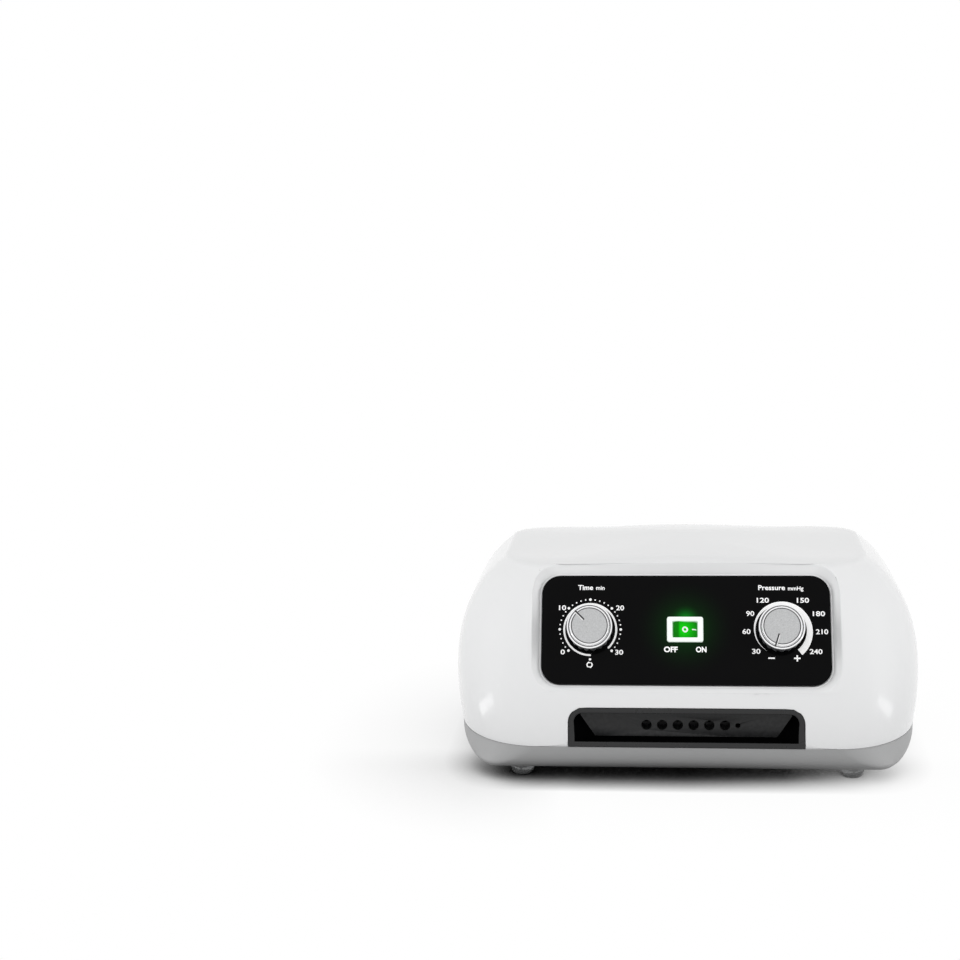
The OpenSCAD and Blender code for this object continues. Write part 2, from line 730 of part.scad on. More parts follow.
// Valve head: a block with a chamber over the diaphragm and a nipple on top
module pump_head(s) {
    color("#3a3d40") at_pump() rotate([0, 0, s < 0 ? 180 : 0]) translate([compressor_l/2, 0, 0]) {
        difference() {
            translate([0, -27, -27]) cube([head_l, 54, 54]);
            translate([-1, 0, 0]) rotate([0, 90, 0]) cylinder(h = head_gap + 3, r = diaphragm_r + 0.1);
            for (y = [-10, 10]) translate([head_gap, y, 0]) rotate([0, 90, 0]) cylinder(h = 9, r = 5);
        }
        translate([head_l/2, 0, 27 - eps]) barb(10, barb_r, 1.2);
    }
}
module pump_head_left() { pump_head(-1); }
module pump_head_right() { pump_head(1); }

// Rubber buffers between the compressor and the floor
module compressor_mounts() {
    low = floor_z + base_wall;
    high = pump_z - frame_h/2 - frame_t;
    color("#333436") for (x = [-30, 30]) for (y = [-24, 24]) translate([pump_x + x, pump_y + y, 0])
        rotate_extrude() polygon([[0, low], [6, low], [4.4, (low + high)/2], [6, high], [2.5, high],
                                  [2.5, high + frame_t], [4.5, high + frame_t], [2, high + frame_t + 3],
                                  [0, high + frame_t + 3]]);
}

// ---------------------------------------------------------------- rotary distributor

barb_angles = [for (i = [0:outlet_count - 1]) 144 + i*15.2];
body_r = distributor_d/2;

module at_rotor() {
    translate([rotor_x, rotor_y, 0]) children();
}

// Ported seat with a barb for every outlet hose
module distributor_body() {
    color("#e4e0d4") at_rotor() difference() {
        union() {
            translate([0, 0, rotor_z - 6]) cylinder(h = 12, r = body_r);
            for (a = barb_angles) translate([0, 0, rotor_z - 2]) rotate([0, 0, a])
                translate([body_r - 1, 0, 0]) rotate([0, 90, 0]) barb(9, barb_r, 1.2);
            for (a = [90, 210, 330]) rotate([0, 0, a]) translate([body_r - 3.5, 0, floor_z + base_wall])
                cylinder(h = rotor_z - 4 - floor_z - base_wall, r = 3);
        }
        translate([0, 0, rotor_z]) cylinder(h = 10, r = body_r - 4);
        translate([0, 0, rotor_z - 8]) cylinder(h = 10, r = 2.6);
        for (a = barb_angles) rotate([0, 0, a]) translate([body_r - 10, 0, rotor_z - 2])
            cylinder(h = 4, r = 1.4);
    }
}

// Turning disc that opens one port after the other, on the gear motor's shaft
module distributor_rotor() {
    color("#c9b98a") at_rotor() {
        difference() {
            translate([0, 0, rotor_z + 0.05]) cylinder(h = 3.4, r = body_r - 4.1);
            rotate_extrude(angle = 40) translate([body_r - 12, rotor_z - 1]) square([5, 6]);
        }
        translate([0, 0, rotor_z - 14]) cylinder(h = 18, r = 2.5);
    }
}

module distributor_cover() {
    color("#d8d5ca") at_rotor() difference() {
        union() {
            translate([0, 0, rotor_z + 6]) cylinder(h = 3, r = body_r);
            translate([0, 0, rotor_z + 9 - eps]) barb(10, barb_r, 1.2);
        }
        translate([0, 0, rotor_z + 5]) cylinder(h = 3, r = 1.4);
    }
}

// Synchronous gear motor in its drawn can
module gear_motor() {
    low = floor_z + base_wall;
    color("#b9bdc1") at_rotor() difference() {
        union() {
            translate([0, 0, low]) cylinder(h = rotor_z - 9 - low, r = 19);
            for (s = [-1, 1]) translate([s*21 - 4, -4, rotor_z - 10]) cube([8, 8, 1]);
        }
        translate([0, 0, rotor_z - 15]) cylinder(h = 12, r = 2.58);
    }
}

// ---------------------------------------------------------------- hoses

hose_bore = 2.7;

// From each socket to its own barb, the ones further out reaching further back
module outlet_hoses() {
    color("#d5dade") for (i = [0:outlet_count - 1]) {
        a = barb_angles[i];
        out = [cos(a), sin(a), 0];
        tip = [rotor_x, rotor_y, rotor_z - 2] + (body_r + 9)*out;
        start = [OUTLET_X[i], tray_back_y + 22, outlet_z];
        hose([start, start + [0, 54 - 6.5*i, 0], tip + (18 - 0.8*i)*out, tip], hose_d/2 + 0.3, hose_bore);
    }
}

module supply_hose() {
    start = [pump_x + compressor_l/2 + head_l/2, pump_y, pump_z + 37];
    end = [rotor_x, rotor_y, rotor_z + 19];
    color("#d5dade") hose([start, start + [0, 0, 18], end + [0, 0, 34], end], hose_d/2 + 0.3, hose_bore);
}

// From the small socket up to the side of the pressure control
module bleed_hose() {
    start = [bleed_x, tray_back_y + 9, outlet_z + 16];
    inward = [0, cos(panel_lean), -sin(panel_lean)];
    tip = [dial_x - 22, -panel_front, panel_z] + bleed_depth*inward;
    color("#d5dade") hose([start, start + [0, 0, 10], tip - [20, 0, 0], tip], 2.6, 2);
}

// ---------------------------------------------------------------- electronics

board_x = -112;
board_y = -46;
board_z = 16;

module control_board() {
    low = floor_z + base_wall;
    color("#1f6a45") {
        translate([board_x, board_y, board_z]) cube([68, 52, 1.6]);
        for (x = [5, 63]) for (y = [5, 47]) translate([board_x + x, board_y + y, low])
            cylinder(h = board_z - low, r = 3);
    }
}

module board_transformer() {
    color("#c9b23c") translate([board_x + 8, board_y + 8, board_z + 1.6]) {
        cube([32, 27, 4]);
        translate([2, 2, 4]) cube([28, 23, 20]);
        translate([-1, 8, 8]) cube([34, 11, 12]);
    }
}

// Capacitors, relay, terminal strip and pressure sensor on the board
module board_parts() {
    top = board_z + 1.6;
    color("#2f4f7a") {
        for (y = [8, 22]) translate([board_x + 50, board_y + y, top]) cylinder(h = 16, r = 5);
        translate([board_x + 44, board_y + 34, top]) cube([19, 15, 15]);
        translate([board_x + 8, board_y + 40, top]) cube([30, 8, 10]);
    }
}

upper_shell();
lower_shell();
foot_front_left();
foot_front_right();
foot_rear_left();
foot_rear_right();
housing_screws();
control_panel();
switch_housing();
switch_rocker();
switch_lamp();
switch_terminals();
time_knob();
time_knob_cap();
timer_shaft();
timer_body();
timer_nut();
pressure_knob();
pressure_knob_cap();
pressure_shaft();
pressure_control();
pressure_nut();
hose_tray();
outlet_manifold();
mains_inlet();
inlet_pins();
fuse_holder();
fuse_cap();
compressor_frame();
stator_front();
stator_rear();
coil_front();
coil_rear();
armature();
diaphragm_left();
diaphragm_right();
pump_head_left();
pump_head_right();
compressor_mounts();
distributor_body();
distributor_rotor();
distributor_cover();
gear_motor();
supply_hose();
bleed_hose();
outlet_hoses();
control_board();
board_transformer();
board_parts();
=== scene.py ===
# %% [markdown]
# # Compression therapy pump
# A white tabletop air pump: a moulded housing on a grey base, a black panel with two dials and a
# lit rocker switch, and a black tray with a row of hose sockets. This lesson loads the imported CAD
# model as a fixed frame, replaces the parts that the eye rests on with smooth surfaces, gives
# every part a finish, and sets up a photographer's table. Every shape is worked out in
# millimetres, as in the CAD model, and is turned into metres when it becomes a mesh.

# %% Load the frame
import json
import math
import bmesh
import bpy
import numpy as np
from mathutils import Matrix, Vector


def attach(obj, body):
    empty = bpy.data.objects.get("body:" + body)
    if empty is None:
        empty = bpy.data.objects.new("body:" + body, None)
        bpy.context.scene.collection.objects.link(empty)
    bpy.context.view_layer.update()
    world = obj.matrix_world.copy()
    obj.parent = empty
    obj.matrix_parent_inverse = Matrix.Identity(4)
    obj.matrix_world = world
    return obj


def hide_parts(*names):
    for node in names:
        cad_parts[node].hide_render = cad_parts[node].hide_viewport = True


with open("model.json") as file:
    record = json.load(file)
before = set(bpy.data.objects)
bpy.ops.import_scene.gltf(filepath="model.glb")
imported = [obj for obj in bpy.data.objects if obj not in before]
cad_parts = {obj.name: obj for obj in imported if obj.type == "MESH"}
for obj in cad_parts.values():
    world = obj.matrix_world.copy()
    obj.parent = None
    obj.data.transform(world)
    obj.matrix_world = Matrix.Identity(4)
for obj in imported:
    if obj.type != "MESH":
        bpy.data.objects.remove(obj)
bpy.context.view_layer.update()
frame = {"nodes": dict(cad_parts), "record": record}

# %% [markdown]
# ## From arrays to meshes
# A surface here is a grid of points: row after row, each row with the same number of points.
# Working the points out as whole arrays is fast, and the faces between two rows follow a fixed
# pattern, so one helper can join them. Rows run so that the next point is to the right and the
# next row is above when the surface is seen from outside. Then every face points outwards.

# %% Mesh helpers
MM = 0.001


def put(name, data):
    """Object on some data, linked into the scene."""
    obj = bpy.data.objects.new(name, data)
    bpy.context.collection.objects.link(obj)
    return obj


def baked(obj):
    """Mesh of an object with its curve or its modifiers worked out."""
    graph = bpy.context.evaluated_depsgraph_get()
    return bpy.data.meshes.new_from_object(obj.evaluated_get(graph))


def mend(mesh, weld=None, slivers=None, flat=None, outwards=False):
    """Merges points nearer than weld, drops edges shorter than slivers and loose points, joins
    faces within flat degrees of one plane, turns faces outwards: each only if asked for."""
    bm = bmesh.new()
    bm.from_mesh(mesh)
    if weld is not None:
        bmesh.ops.remove_doubles(bm, verts=bm.verts, dist=weld)
    if slivers is not None:
        bmesh.ops.dissolve_degenerate(bm, edges=bm.edges, dist=slivers)
        bmesh.ops.delete(bm, geom=[v for v in bm.verts if not v.link_faces], context="VERTS")
    if flat is not None:
        bmesh.ops.dissolve_limit(bm, angle_limit=math.radians(flat), verts=bm.verts, edges=bm.edges)
    if outwards:
        bmesh.ops.recalc_face_normals(bm, faces=bm.faces)
    bm.to_mesh(mesh)
    bm.free()


def smooth(mesh, turn):
    """Smooth shading, except where faces meet at more than turn degrees."""
    mesh.shade_smooth()
    mesh.set_sharp_from_angle(angle=math.radians(turn))


def places(items, what="co"):
    """Where a mesh's vertices are, or the middles of its faces, in millimetres."""
    co = np.zeros(len(items)*3)
    items.foreach_get(what, co)
    return co.reshape(-1, 3)/MM


class Shape:
    """Collects points and faces of one piece, in millimetres."""

    def __init__(self):
        self.points, self.faces, self.count = [], [], 0

    def add(self, points):
        """Takes points in, and gives the number of the first."""
        points = np.asarray(points, float).reshape(-1, 3)
        self.points.append(points)
        self.count += len(points)
        return self.count - len(points)

    def rows(self, rows, closed=True, keep=None):
        """Quads between neighbouring rows; keep is a mask of the quads that stay."""
        rows = np.asarray(rows, float)
        count, width = rows.shape[:2]
        start = self.add(rows)
        last = width if closed else width - 1
        i, j = np.meshgrid(np.arange(count - 1), np.arange(last), indexing="ij")
        here, k = i*width, (j + 1) % width
        quads = start + np.stack([here + j, here + k, here + width + k, here + width + j], -1)
        self.faces += (quads.reshape(-1, 4) if keep is None else quads[keep]).tolist()
        return start

    def fan(self, ring, tip):
        """Triangles from a ring to a point; the ring turns counterclockwise seen from outside."""
        start = self.add(ring)
        middle = self.add([tip])
        n = middle - start
        self.faces += [[start + j, start + (j + 1) % n, middle] for j in range(n)]

    def cap(self, ring):
        """One flat face on a ring."""
        start = self.add(ring)
        self.faces.append(list(range(start, self.count)))

    def solid(self, rows):
        """Rows with a cap on the first and on the last."""
        self.rows(rows)
        self.cap(rows[-1])
        self.cap(rows[0][::-1])

    def piece(self, name, sharp=35, weld=0.0005):
        """Object with its doubles merged, smooth except where faces meet at more than sharp
        degrees."""
        mesh = bpy.data.meshes.new(name)
        mesh.from_pydata((np.concatenate(self.points)*MM).tolist(), [], self.faces)
        mend(mesh, weld*MM, weld*MM*0.1)
        smooth(mesh, sharp)
        return put(name, mesh)


def at_height(flat, z):
    """Flat points at one height."""
    return np.column_stack([flat, np.full(len(flat), z)])


def arc(radius, start, end, count, middle=(0, 0)):
    """Points of an arc from one angle to another, in degrees."""
    a = np.radians(np.linspace(start, end, count))
    return np.stack([middle[0] + radius*np.cos(a), middle[1] + radius*np.sin(a)], -1)


def circle(radius, count=32, middle=(0, 0)):
    """Points round a circle, counterclockwise, none of them twice."""
    return arc(radius, 0, 360, count + 1, middle)[:-1]


def spread(line, count):
    """Count + 1 points at equal steps along a line of points."""
    line = np.asarray(line, float)
    way = np.concatenate([[0], np.cumsum(np.linalg.norm(np.diff(line, axis=0), axis=1))])
    at = np.linspace(0, way[-1], count + 1)
    return np.stack([np.interp(at, way, line[:, k]) for k in range(line.shape[1])], -1)


def rounded_sides(width, height, radius, counts, rise=0.0):
    """Rounded rectangle, counterclockwise from its top right corner, as four sides (top, left,
    bottom, right) that meet in the middle of each corner arc, with the given steps on each."""
    out = []
    for k, count in enumerate(counts):
        a, b = (width/2, height/2) if k % 2 == 0 else (height/2, width/2)
        side = np.concatenate([arc(radius, start, start + 45, 9, (way*(a - radius), b - radius))
                               for start, way in ((45, 1), (90, -1))])
        side = spread(side, count)[:-1]
        turn = np.radians(90*k)
        out.append(side @ [[np.cos(turn), np.sin(turn)], [-np.sin(turn), np.cos(turn)]])
    return np.concatenate(out) + [0, rise]


def softened(rows, corner, radius, steps=4):
    """Rows with one of them, a sharp corner, turned into a fillet: a quadratic curve from a point
    before the corner to a point after it, both the radius away or at most 45% of the way."""
    rows = [np.asarray(r, float) for r in rows]
    before, at, after = rows[corner - 1:corner + 2]

    def towards(other):
        step = other - at
        size = np.linalg.norm(step, axis=-1, keepdims=True)
        return at + step/np.maximum(size, 1e-9)*np.minimum(radius, 0.45*size)

    start, end = towards(before), towards(after)
    bend = [(1 - t)**2*start + 2*(1 - t)*t*at + t**2*end for t in np.linspace(0, 1, steps + 1)]
    return rows[:corner] + bend + rows[corner + 1:]


# %% [markdown]
# ## The housing's surface
# The white housing is one injection moulding. Its side, front and back are three different
# curves from the parting line over the roof's edge to the crown, and its plan is a rounded
# rectangle with elliptical corners. Sculpting it by hand would drift from the CAD model, so the
# surface is a function of two numbers: s climbs a curve from 0 to 3 and t goes round the plan
# from 0 to 4, with the front at 3.

# %% The surface as a function
SEAM_Z, CROWN_Z, CROWN_Y, WALL = 22.0, 125.2, 20.0, 3.0
SIDE = [[135.5, 22], [142.44, 62], [138.5, 97], [109.6, 118.8], [108.0, 121.5], [104, 121.5],
        [36, CROWN_Z], [0, CROWN_Z]]
FRONT = [[94, 22], [93, 48], [74, 88], [58.9, 118], [55.6, 123.2], [44, 124.2],
         [22, CROWN_Z], [-CROWN_Y, CROWN_Z]]
BACK = [[90, 22], [95.7, 58], [96.2, 94], [84, 110.5], [79.5, 117.5], [66, 120.4],
        [36, CROWN_Z], [CROWN_Y, CROWN_Z]]
CORNER = (0.36, 0.70, 0.50)      # corner sizes of the plan: across, front, back
FLAT = 0.2                       # share of a quarter that is straight at each end
SEAM_STEP, SEAM_RADIUS = 0.005, 0.5
DIP, DIP_REACH = 1.8, 135.0      # how far the roof dips beside its middle, and how far out that is


def half_profile(points, s, depth=0.0):
    """Cubic curve for s up to 1, quadratic ones from 1 to 2 and from 2 to 3, moved square to itself
    by depth."""
    p = np.asarray(points, float)
    a = np.minimum(s, 1)[..., None]
    b, c = (np.clip(s - k, 0, 1)[..., None] for k in (1, 2))
    wall = (1 - a)**3*p[0] + 3*(1 - a)**2*a*p[1] + 3*(1 - a)*a**2*p[2] + a**3*p[3]
    edge = (1 - b)**2*p[3] + 2*(1 - b)*b*p[4] + b**2*p[5]
    roof = (1 - c)**2*p[5] + 2*(1 - c)*c*p[6] + c**2*p[7]
    wall_way = 3*(1 - a)**2*(p[1] - p[0]) + 6*(1 - a)*a*(p[2] - p[1]) + 3*a**2*(p[3] - p[2])
    edge_way = (1 - b)*(p[4] - p[3]) + b*(p[5] - p[4])
    roof_way = (1 - c)*(p[6] - p[5]) + c*(p[7] - p[6])
    low, mid = s[..., None] <= 1, s[..., None] <= 2
    way = np.where(low, wall_way, np.where(mid, edge_way, roof_way))
    square = np.stack([way[..., 1], -way[..., 0]], -1)
    return (np.where(low, wall, np.where(mid, edge, roof))
            - depth*square/np.linalg.norm(square, axis=-1, keepdims=True))


def unit_plan(t, corner=CORNER):
    """Rounded rectangle in the unit square: straight, then a quarter ellipse, then straight."""
    quarter = np.floor(t).astype(int) % 4
    u = np.where(quarter % 2 == 0, t - np.floor(t), 1 - t + np.floor(t))
    kx, ky = corner[0], np.where(quarter < 2, corner[2], corner[1])
    a = np.pi/2*np.clip((u - FLAT)/(1 - 2*FLAT), 0, 1)
    x = np.where(u < FLAT, 1, np.where(u > 1 - FLAT, (1 - kx)*(1 - u)/FLAT, 1 - kx + kx*np.cos(a)))
    y = np.where(u < FLAT, (1 - ky)*u/FLAT, np.where(u > 1 - FLAT, 1, 1 - ky + ky*np.sin(a)))
    return np.where(quarter % 3 == 0, x, -x), np.where(quarter < 2, y, -y)


def housing(s, t, depth=0.0):
    """Blend of the three profiles round the plan: x and y are the plan times the profile's reach, z
    is the side's height times w plus the end's times 1 - w, with w = x^4/(x^4 + y^4). In the roof the
    middle moves back to the crown, and z dips by a squared sine of x. The lowest half millimetre
    turns in to a rounded edge."""
    s, t = np.broadcast_arrays(np.asarray(s, float), np.asarray(t, float))
    x, y = unit_plan(t)
    side, front, back = (half_profile(p, s, depth) for p in (SIDE, FRONT, BACK))
    end = np.where((y < 0)[..., None], front, back)
    crown = CROWN_Y*np.clip(s - 2, 0, 1)
    turn_in = SEAM_RADIUS*(1 - np.sqrt(1 - np.clip(1 - s/SEAM_STEP, 0, 1)**2)) if depth == 0 else 0*s
    reach = end[..., 0] - turn_in
    w = x**4/(x**4 + y**4)
    z = w*side[..., 1] + (1 - w)*end[..., 1]
    across = x*(side[..., 0] - turn_in)
    roof = np.clip(s - 1, 0, 1)
    z = z - DIP*roof*roof*(3 - 2*roof)*np.sin(np.pi*np.clip(across/DIP_REACH, -1, 1))**2
    if depth:
        z = np.where(s <= 0, SEAM_Z, z)
    y = np.where(y < 0, crown + y*(reach + crown), crown + y*(reach - crown))
    return np.stack([across, y, z], -1)


class Face:
    """A flat face of the housing, with its own axes: across, up and out of the face."""

    def __init__(self, origin, across, up, out):
        self.origin, self.axes = np.array(origin, float), np.array([across, up, out], float)

    def read(self, points):
        """Places in space as across, up and out of the face."""
        return (points - self.origin) @ self.axes.T

    def place(self, flat, level=0.0):
        """Points of the face at a level above it, as places in space."""
        flat = np.asarray(flat, float)
        level = np.broadcast_to(np.asarray(level, float), flat.shape[:-1])
        return self.origin + np.concatenate([flat, level[..., None]], -1) @ self.axes

    def matrix(self):
        """The face's place as a matrix, in metres."""
        m = Matrix([list(v) for v in self.axes.T]).to_4x4()
        m.translation = Vector(self.origin*MM)
        return m


def leaning_face(y, z, lean):
    """Face at the front that leans back by an angle in degrees."""
    a = math.radians(lean)
    return Face([0, y, z], [1, 0, 0], [0, math.sin(a), math.cos(a)], [0, -math.cos(a), math.sin(a)])


def rear_face(x, z):
    """Upright face that looks to the back."""
    return Face([x, REAR_Y, z], [-1, 0, 0], [0, 0, 1], [0, 1, 0])


REAR_Y = 91.2
PANEL = leaning_face(-71, 86, 26.5)
LIP = leaning_face(-94.6, SEAM_Z, 10.84)


def land(face, flat, s, t, depth=0.0):
    """The s and t at which the housing's surface lies over points of a face, by Newton's method: step
    by the error divided by the surface's own slope, which is measured with a tiny move."""
    flat = np.asarray(flat, float)
    s, t = (np.full(len(flat), v) if np.isscalar(v) else v for v in (s, t))
    tiny = 1e-4
    for _ in range(24):
        here = face.read(housing(s, t, depth))[:, :2]
        by_s = (face.read(housing(s + tiny, t, depth))[:, :2] - here)/tiny
        by_t = (face.read(housing(s, t + tiny, depth))[:, :2] - here)/tiny
        miss = here - flat
        area = by_s[:, 0]*by_t[:, 1] - by_s[:, 1]*by_t[:, 0]
        s = s - np.clip((miss[:, 0]*by_t[:, 1] - miss[:, 1]*by_t[:, 0])/area, -0.1, 0.1)
        t = t - np.clip((by_s[:, 0]*miss[:, 1] - by_s[:, 1]*miss[:, 0])/area, -0.1, 0.1)
    return s, t, np.abs(miss).max()


# %% [markdown]
# ## Openings without a boolean
# A boolean cut leaves long thin faces that spoil the gloss round a hole. Here a block of the grid
# is left out, and a sleeve of rows goes from the block's border over the surface to the
# opening's outline, round the edge, through the wall and back along the inner surface. The
# rows on the surface are straight lines in s and t, so they lie on it exactly.

# %% The grid and its openings
VENTS, VENT_PITCH, VENT_X, VENT_Z = 12, 6.0, 34.0, 62.0
rear_t = FLAT/(1 - CORNER[0])/139.4       # change of t for a millimetre along the straight back
vent_edges = [1 - (VENT_X + side*VENTS*VENT_PITCH/2)*rear_t for side in (1, -1)]
fittings = [1 + 36*rear_t, 1 + 80*rear_t, 1.4]     # round the inlet, and round the fuse holder


def joined(*stretches):
    """Numbers in equal steps along stretches of (from, to, steps) that follow each other."""
    parts = [np.linspace(a, b, n + 1)[:-1] for a, b, n in stretches]
    return np.concatenate(parts + [[stretches[-1][1]]])


S_ROWS = np.concatenate([[0, 0.0008, 0.002, 0.0035, SEAM_STEP],
                         joined((0.04, 0.2, 5), (0.2, 0.345, 6), (0.345, 0.57, 7), (0.57, 1, 11),
                                (1, 1.5, 7), (1.5, 2, 6), (2, 3, 14))])
T_COLUMNS = joined((0, vent_edges[0], 50), (vent_edges[0], vent_edges[1], 4*VENTS),
                   (vent_edges[1], fittings[0], 6), (fittings[0], fittings[1], 12),
                   (fittings[1], fittings[2], 12), (fittings[2], 2.6, 60), (2.6, 3.4, 56),
                   (3.4, 4, 40))


class Block:
    """Block of the grid that an opening takes the place of."""

    def __init__(self, s_low, s_high, t_low, t_high):
        self.i = [int(np.abs(S_ROWS - v).argmin()) for v in (s_low, s_high)]
        self.j = [int(np.abs(T_COLUMNS - v).argmin()) for v in (t_low, t_high)]
        self.wide, self.tall = self.j[1] - self.j[0], self.i[1] - self.i[0]
        self.counts = [self.wide, self.tall, self.wide, self.tall]

    def border(self, open_below=False):
        """s and t round the block, counterclockwise from its top right corner, or from its bottom
        right corner over the top to the bottom left one."""
        (i0, i1), (j0, j1) = self.i, self.j
        up = [(i, j1) for i in range(i0, i1)]
        over = [(i1, j) for j in range(j1, j0, -1)]
        down = [(i, j0) for i in range(i1, i0, -1)]
        back = [(i0, j) for j in range(j0, j1)]
        order = np.array(up + over + down + [(i0, j0)] if open_below else over + down + back + up)
        return S_ROWS[order[:, 0]], T_COLUMNS[order[:, 1]]


def across_surface(border, edge, depth, steps):
    """Rows on the surface from the block's border to the edge of the opening."""
    return [housing(border[0] + (edge[0] - border[0])*f, border[1] + (edge[1] - border[1])*f, depth)
            for f in np.linspace(0, 1, steps + 1)]


def sleeve(shape, block, face, outer, inner, between, fillet, steps=6, open_below=False,
           start=(0.5, 3.0)):
    """An opening's rows: outer surface, rounded edge, the rows between, inner surface. Outer and
    inner are the outlines over the face. Gives how far the outlines missed, in millimetres."""
    border = block.border(open_below)
    s, t, miss = land(face, outer, *start)
    s_in, t_in, miss_in = land(face, inner, *start, WALL)
    # The two ends of an open outline lie on the parting line, where t follows from x alone. Their
    # miss is measured before that and says nothing.
    if open_below:
        for k, side in ((0, 1), (-1, -1)):
            s[k], s_in[k] = 0, 0
            t[k] = 3 + side*outer[0, 0]/SIDE[0][0]*FLAT/(1 - CORNER[0])
            t_in[k] = 3 + side*outer[0, 0]/(SIDE[0][0] - WALL)*FLAT/(1 - CORNER[0])
    out_rows = across_surface(border, (s, t), 0, steps)
    in_rows = across_surface(border, (s_in, t_in), WALL, 4)[::-1]
    rows = out_rows + list(between) + in_rows
    rows = softened(rows, steps, fillet)
    shape.rows(rows, closed=not open_below)
    if open_below:
        for side in (0, -1):
            ring = np.array([r[side] for r in rows])
            ring[:, 2] = SEAM_Z
            shape.cap(ring[::-1] if side else ring)
    return miss, miss_in


# %% [markdown]
# ## The white housing
# Round the panel a bevelled recess leads down from the swelling front to the flat panel. Below it
# a notch is open at the parting line and takes the black tray. The back has a row of vents and
# flat seats for the mains inlet and the fuse holder. Each is one sleeve.

# %% Build the white housing
# Outlines are width, height and corner radius; the pocket's also have their level.
RECESS, RECESS_INSIDE = (178.4, 77.6, 17), (186, 78, 17)
POCKET = [(169.4, 67, 12.2, -2.0), (168.4, 66, 11.6, -1.8), (167.7, 65.3, 11.2, -1.9),
          (167.3, 64.9, 11, -2.2), (167.3, 64.9, 11, -3), (155, 53, 6, -3), (155, 53, 6, -5.5)]
NOTCH, VENT = (135.7, 22.85, 8.6), (2.6, 28.6, 1.29)
SEAT_DEPTH = 3.6
# Mains inlet and fuse holder: x, z, columns, and the outlines of the seat, the hole and the pad.
SEATS = [(-58, 42, fittings[:2], [(32.4, 20.4, 2.2), (28, 16, 1), (40, 26, 4)]),
         (-96, 42, fittings[1:], [(17.6, 17.6, 8.79), (12.4, 12.4, 6.19), (21, 21, 10.49)])]
shell = Shape()
blocks = []


def new_block(*limits):
    """Block of the grid, noted so that it can be left out."""
    blocks.append(Block(*limits))
    return blocks[-1]


def arch_line(width, height, radius, block):
    """Right side upwards, over the top and down, with a corner arc shared by two sides."""
    middle = (width/2 - radius, height - radius)
    up = spread(np.concatenate([[[width/2, 0]], arc(radius, 0, 45, 9, middle)]), block.tall)
    half = arc(radius, 45, 90, 9, middle)
    over = spread(np.concatenate([half, half[::-1]*[-1, 1]]), block.wide)
    return np.concatenate([up[:-1], over[:-1], up[::-1]*[-1, 1]])


recess = new_block(0.345, 1.5, 2.6, 3.4)
rows = [PANEL.place(rounded_sides(w, h, r, recess.counts), z) for w, h, r, z in POCKET]
outline = rounded_sides(*RECESS, recess.counts, 0.9)
inside = rounded_sides(*RECESS_INSIDE, recess.counts, 1)
rows.append(PANEL.place(inside, POCKET[-1][3]))
print("recess misses", sleeve(shell, recess, PANEL, outline, inside, rows, 0.7, 9))

notch = new_block(0, 0.345, 2.8, 3.2)
outline = arch_line(*NOTCH, notch)
print("notch misses", sleeve(shell, notch, LIP, outline, outline, [], 0.6, 8, True, (0.2, 3.0)))

for k in range(VENTS):
    face = rear_face(VENT_X + ((VENTS - 1)/2 - k)*VENT_PITCH, VENT_Z)
    middle = vent_edges[0] + (k + 0.5)*VENT_PITCH*rear_t
    block = new_block(0.2, 0.57, middle - VENT_PITCH*rear_t/2, middle + VENT_PITCH*rear_t/2)
    outline = rounded_sides(*VENT, block.counts)
    miss = sleeve(shell, block, face, outline, outline, [], 0.4, 3, False, (0.35, middle))
print("vent misses", miss)

for x, z, limits, sizes in SEATS:
    block = new_block(0.04, 0.345, *limits)
    face = rear_face(x, z)
    seat, hole, pad = (rounded_sides(*size, block.counts) for size in sizes)
    rows = [face.place(line, level) for line, level in
            ((seat, 0), (hole, 0), (hole, -SEAT_DEPTH), (pad, -SEAT_DEPTH))]
    miss = sleeve(shell, block, face, seat, pad, rows, 0.5, 4, False, (0.2, sum(limits)/2))
    print("seat misses", miss)

keep = np.ones((len(S_ROWS) - 2, len(T_COLUMNS) - 1), bool)
for block in blocks:
    keep[block.i[0]:block.i[1], block.j[0]:block.j[1]] = False
outer_grid = housing(S_ROWS[:-1, None], T_COLUMNS[None, :])
inner_grid = housing(S_ROWS[:-1, None], T_COLUMNS[None, :], WALL)
shell.rows(outer_grid, closed=False, keep=keep)
shell.rows(inner_grid[:, ::-1], closed=False, keep=keep[:, ::-1])
shell.rows([inner_grid[0], outer_grid[0]], closed=False, keep=keep[:1])
shell.fan(outer_grid[-1, :-1], [0, CROWN_Y, CROWN_Z])
shell.fan(inner_grid[-1, -1:0:-1], [0, CROWN_Y, CROWN_Z - WALL])
upper_housing = shell.piece("upper_housing", 30)
print("white housing:", len(upper_housing.data.polygons), "faces")

# %% [markdown]
# ## The grey base
# The base is a shallow tray. Its wall drops from the parting line and turns under to a flat floor,
# and its corners pull in a little more than the housing's, so that a soft facet shows there. A few
# key rings hold the insets and the corner sizes. Cutting their corners off three times turns
# them into a smooth curve that stays inside the CAD model's straight steps.

# %% Build the grey base
FLOOR_Z, BASE_WALL = 8.0, 2.5
# Height, inset at the sides, inset at the ends, share of the base's own corners.
BASE_KEYS = [[22, 0, 0, 0], [17, 1.0, 0.4, 0.15], [13, 4.5, 1.5, 0.4], [10, 10.5, 3.6, 0.75],
             [8, 17, 6.4, 1]]
BASE_CORNER = (0.08, 0.12, 0.10)


def cut_corners(keys, times):
    """Each stretch keeps its points at a quarter and three quarters, and the ends stay."""
    keys = np.asarray(keys, float)
    for _ in range(times):
        quarter, three = 0.75*keys[:-1] + 0.25*keys[1:], 0.25*keys[:-1] + 0.75*keys[1:]
        cut = np.stack([quarter, three], 1).reshape(-1, keys.shape[1])
        keys = np.concatenate([keys[:1], cut, keys[-1:]])
    return keys


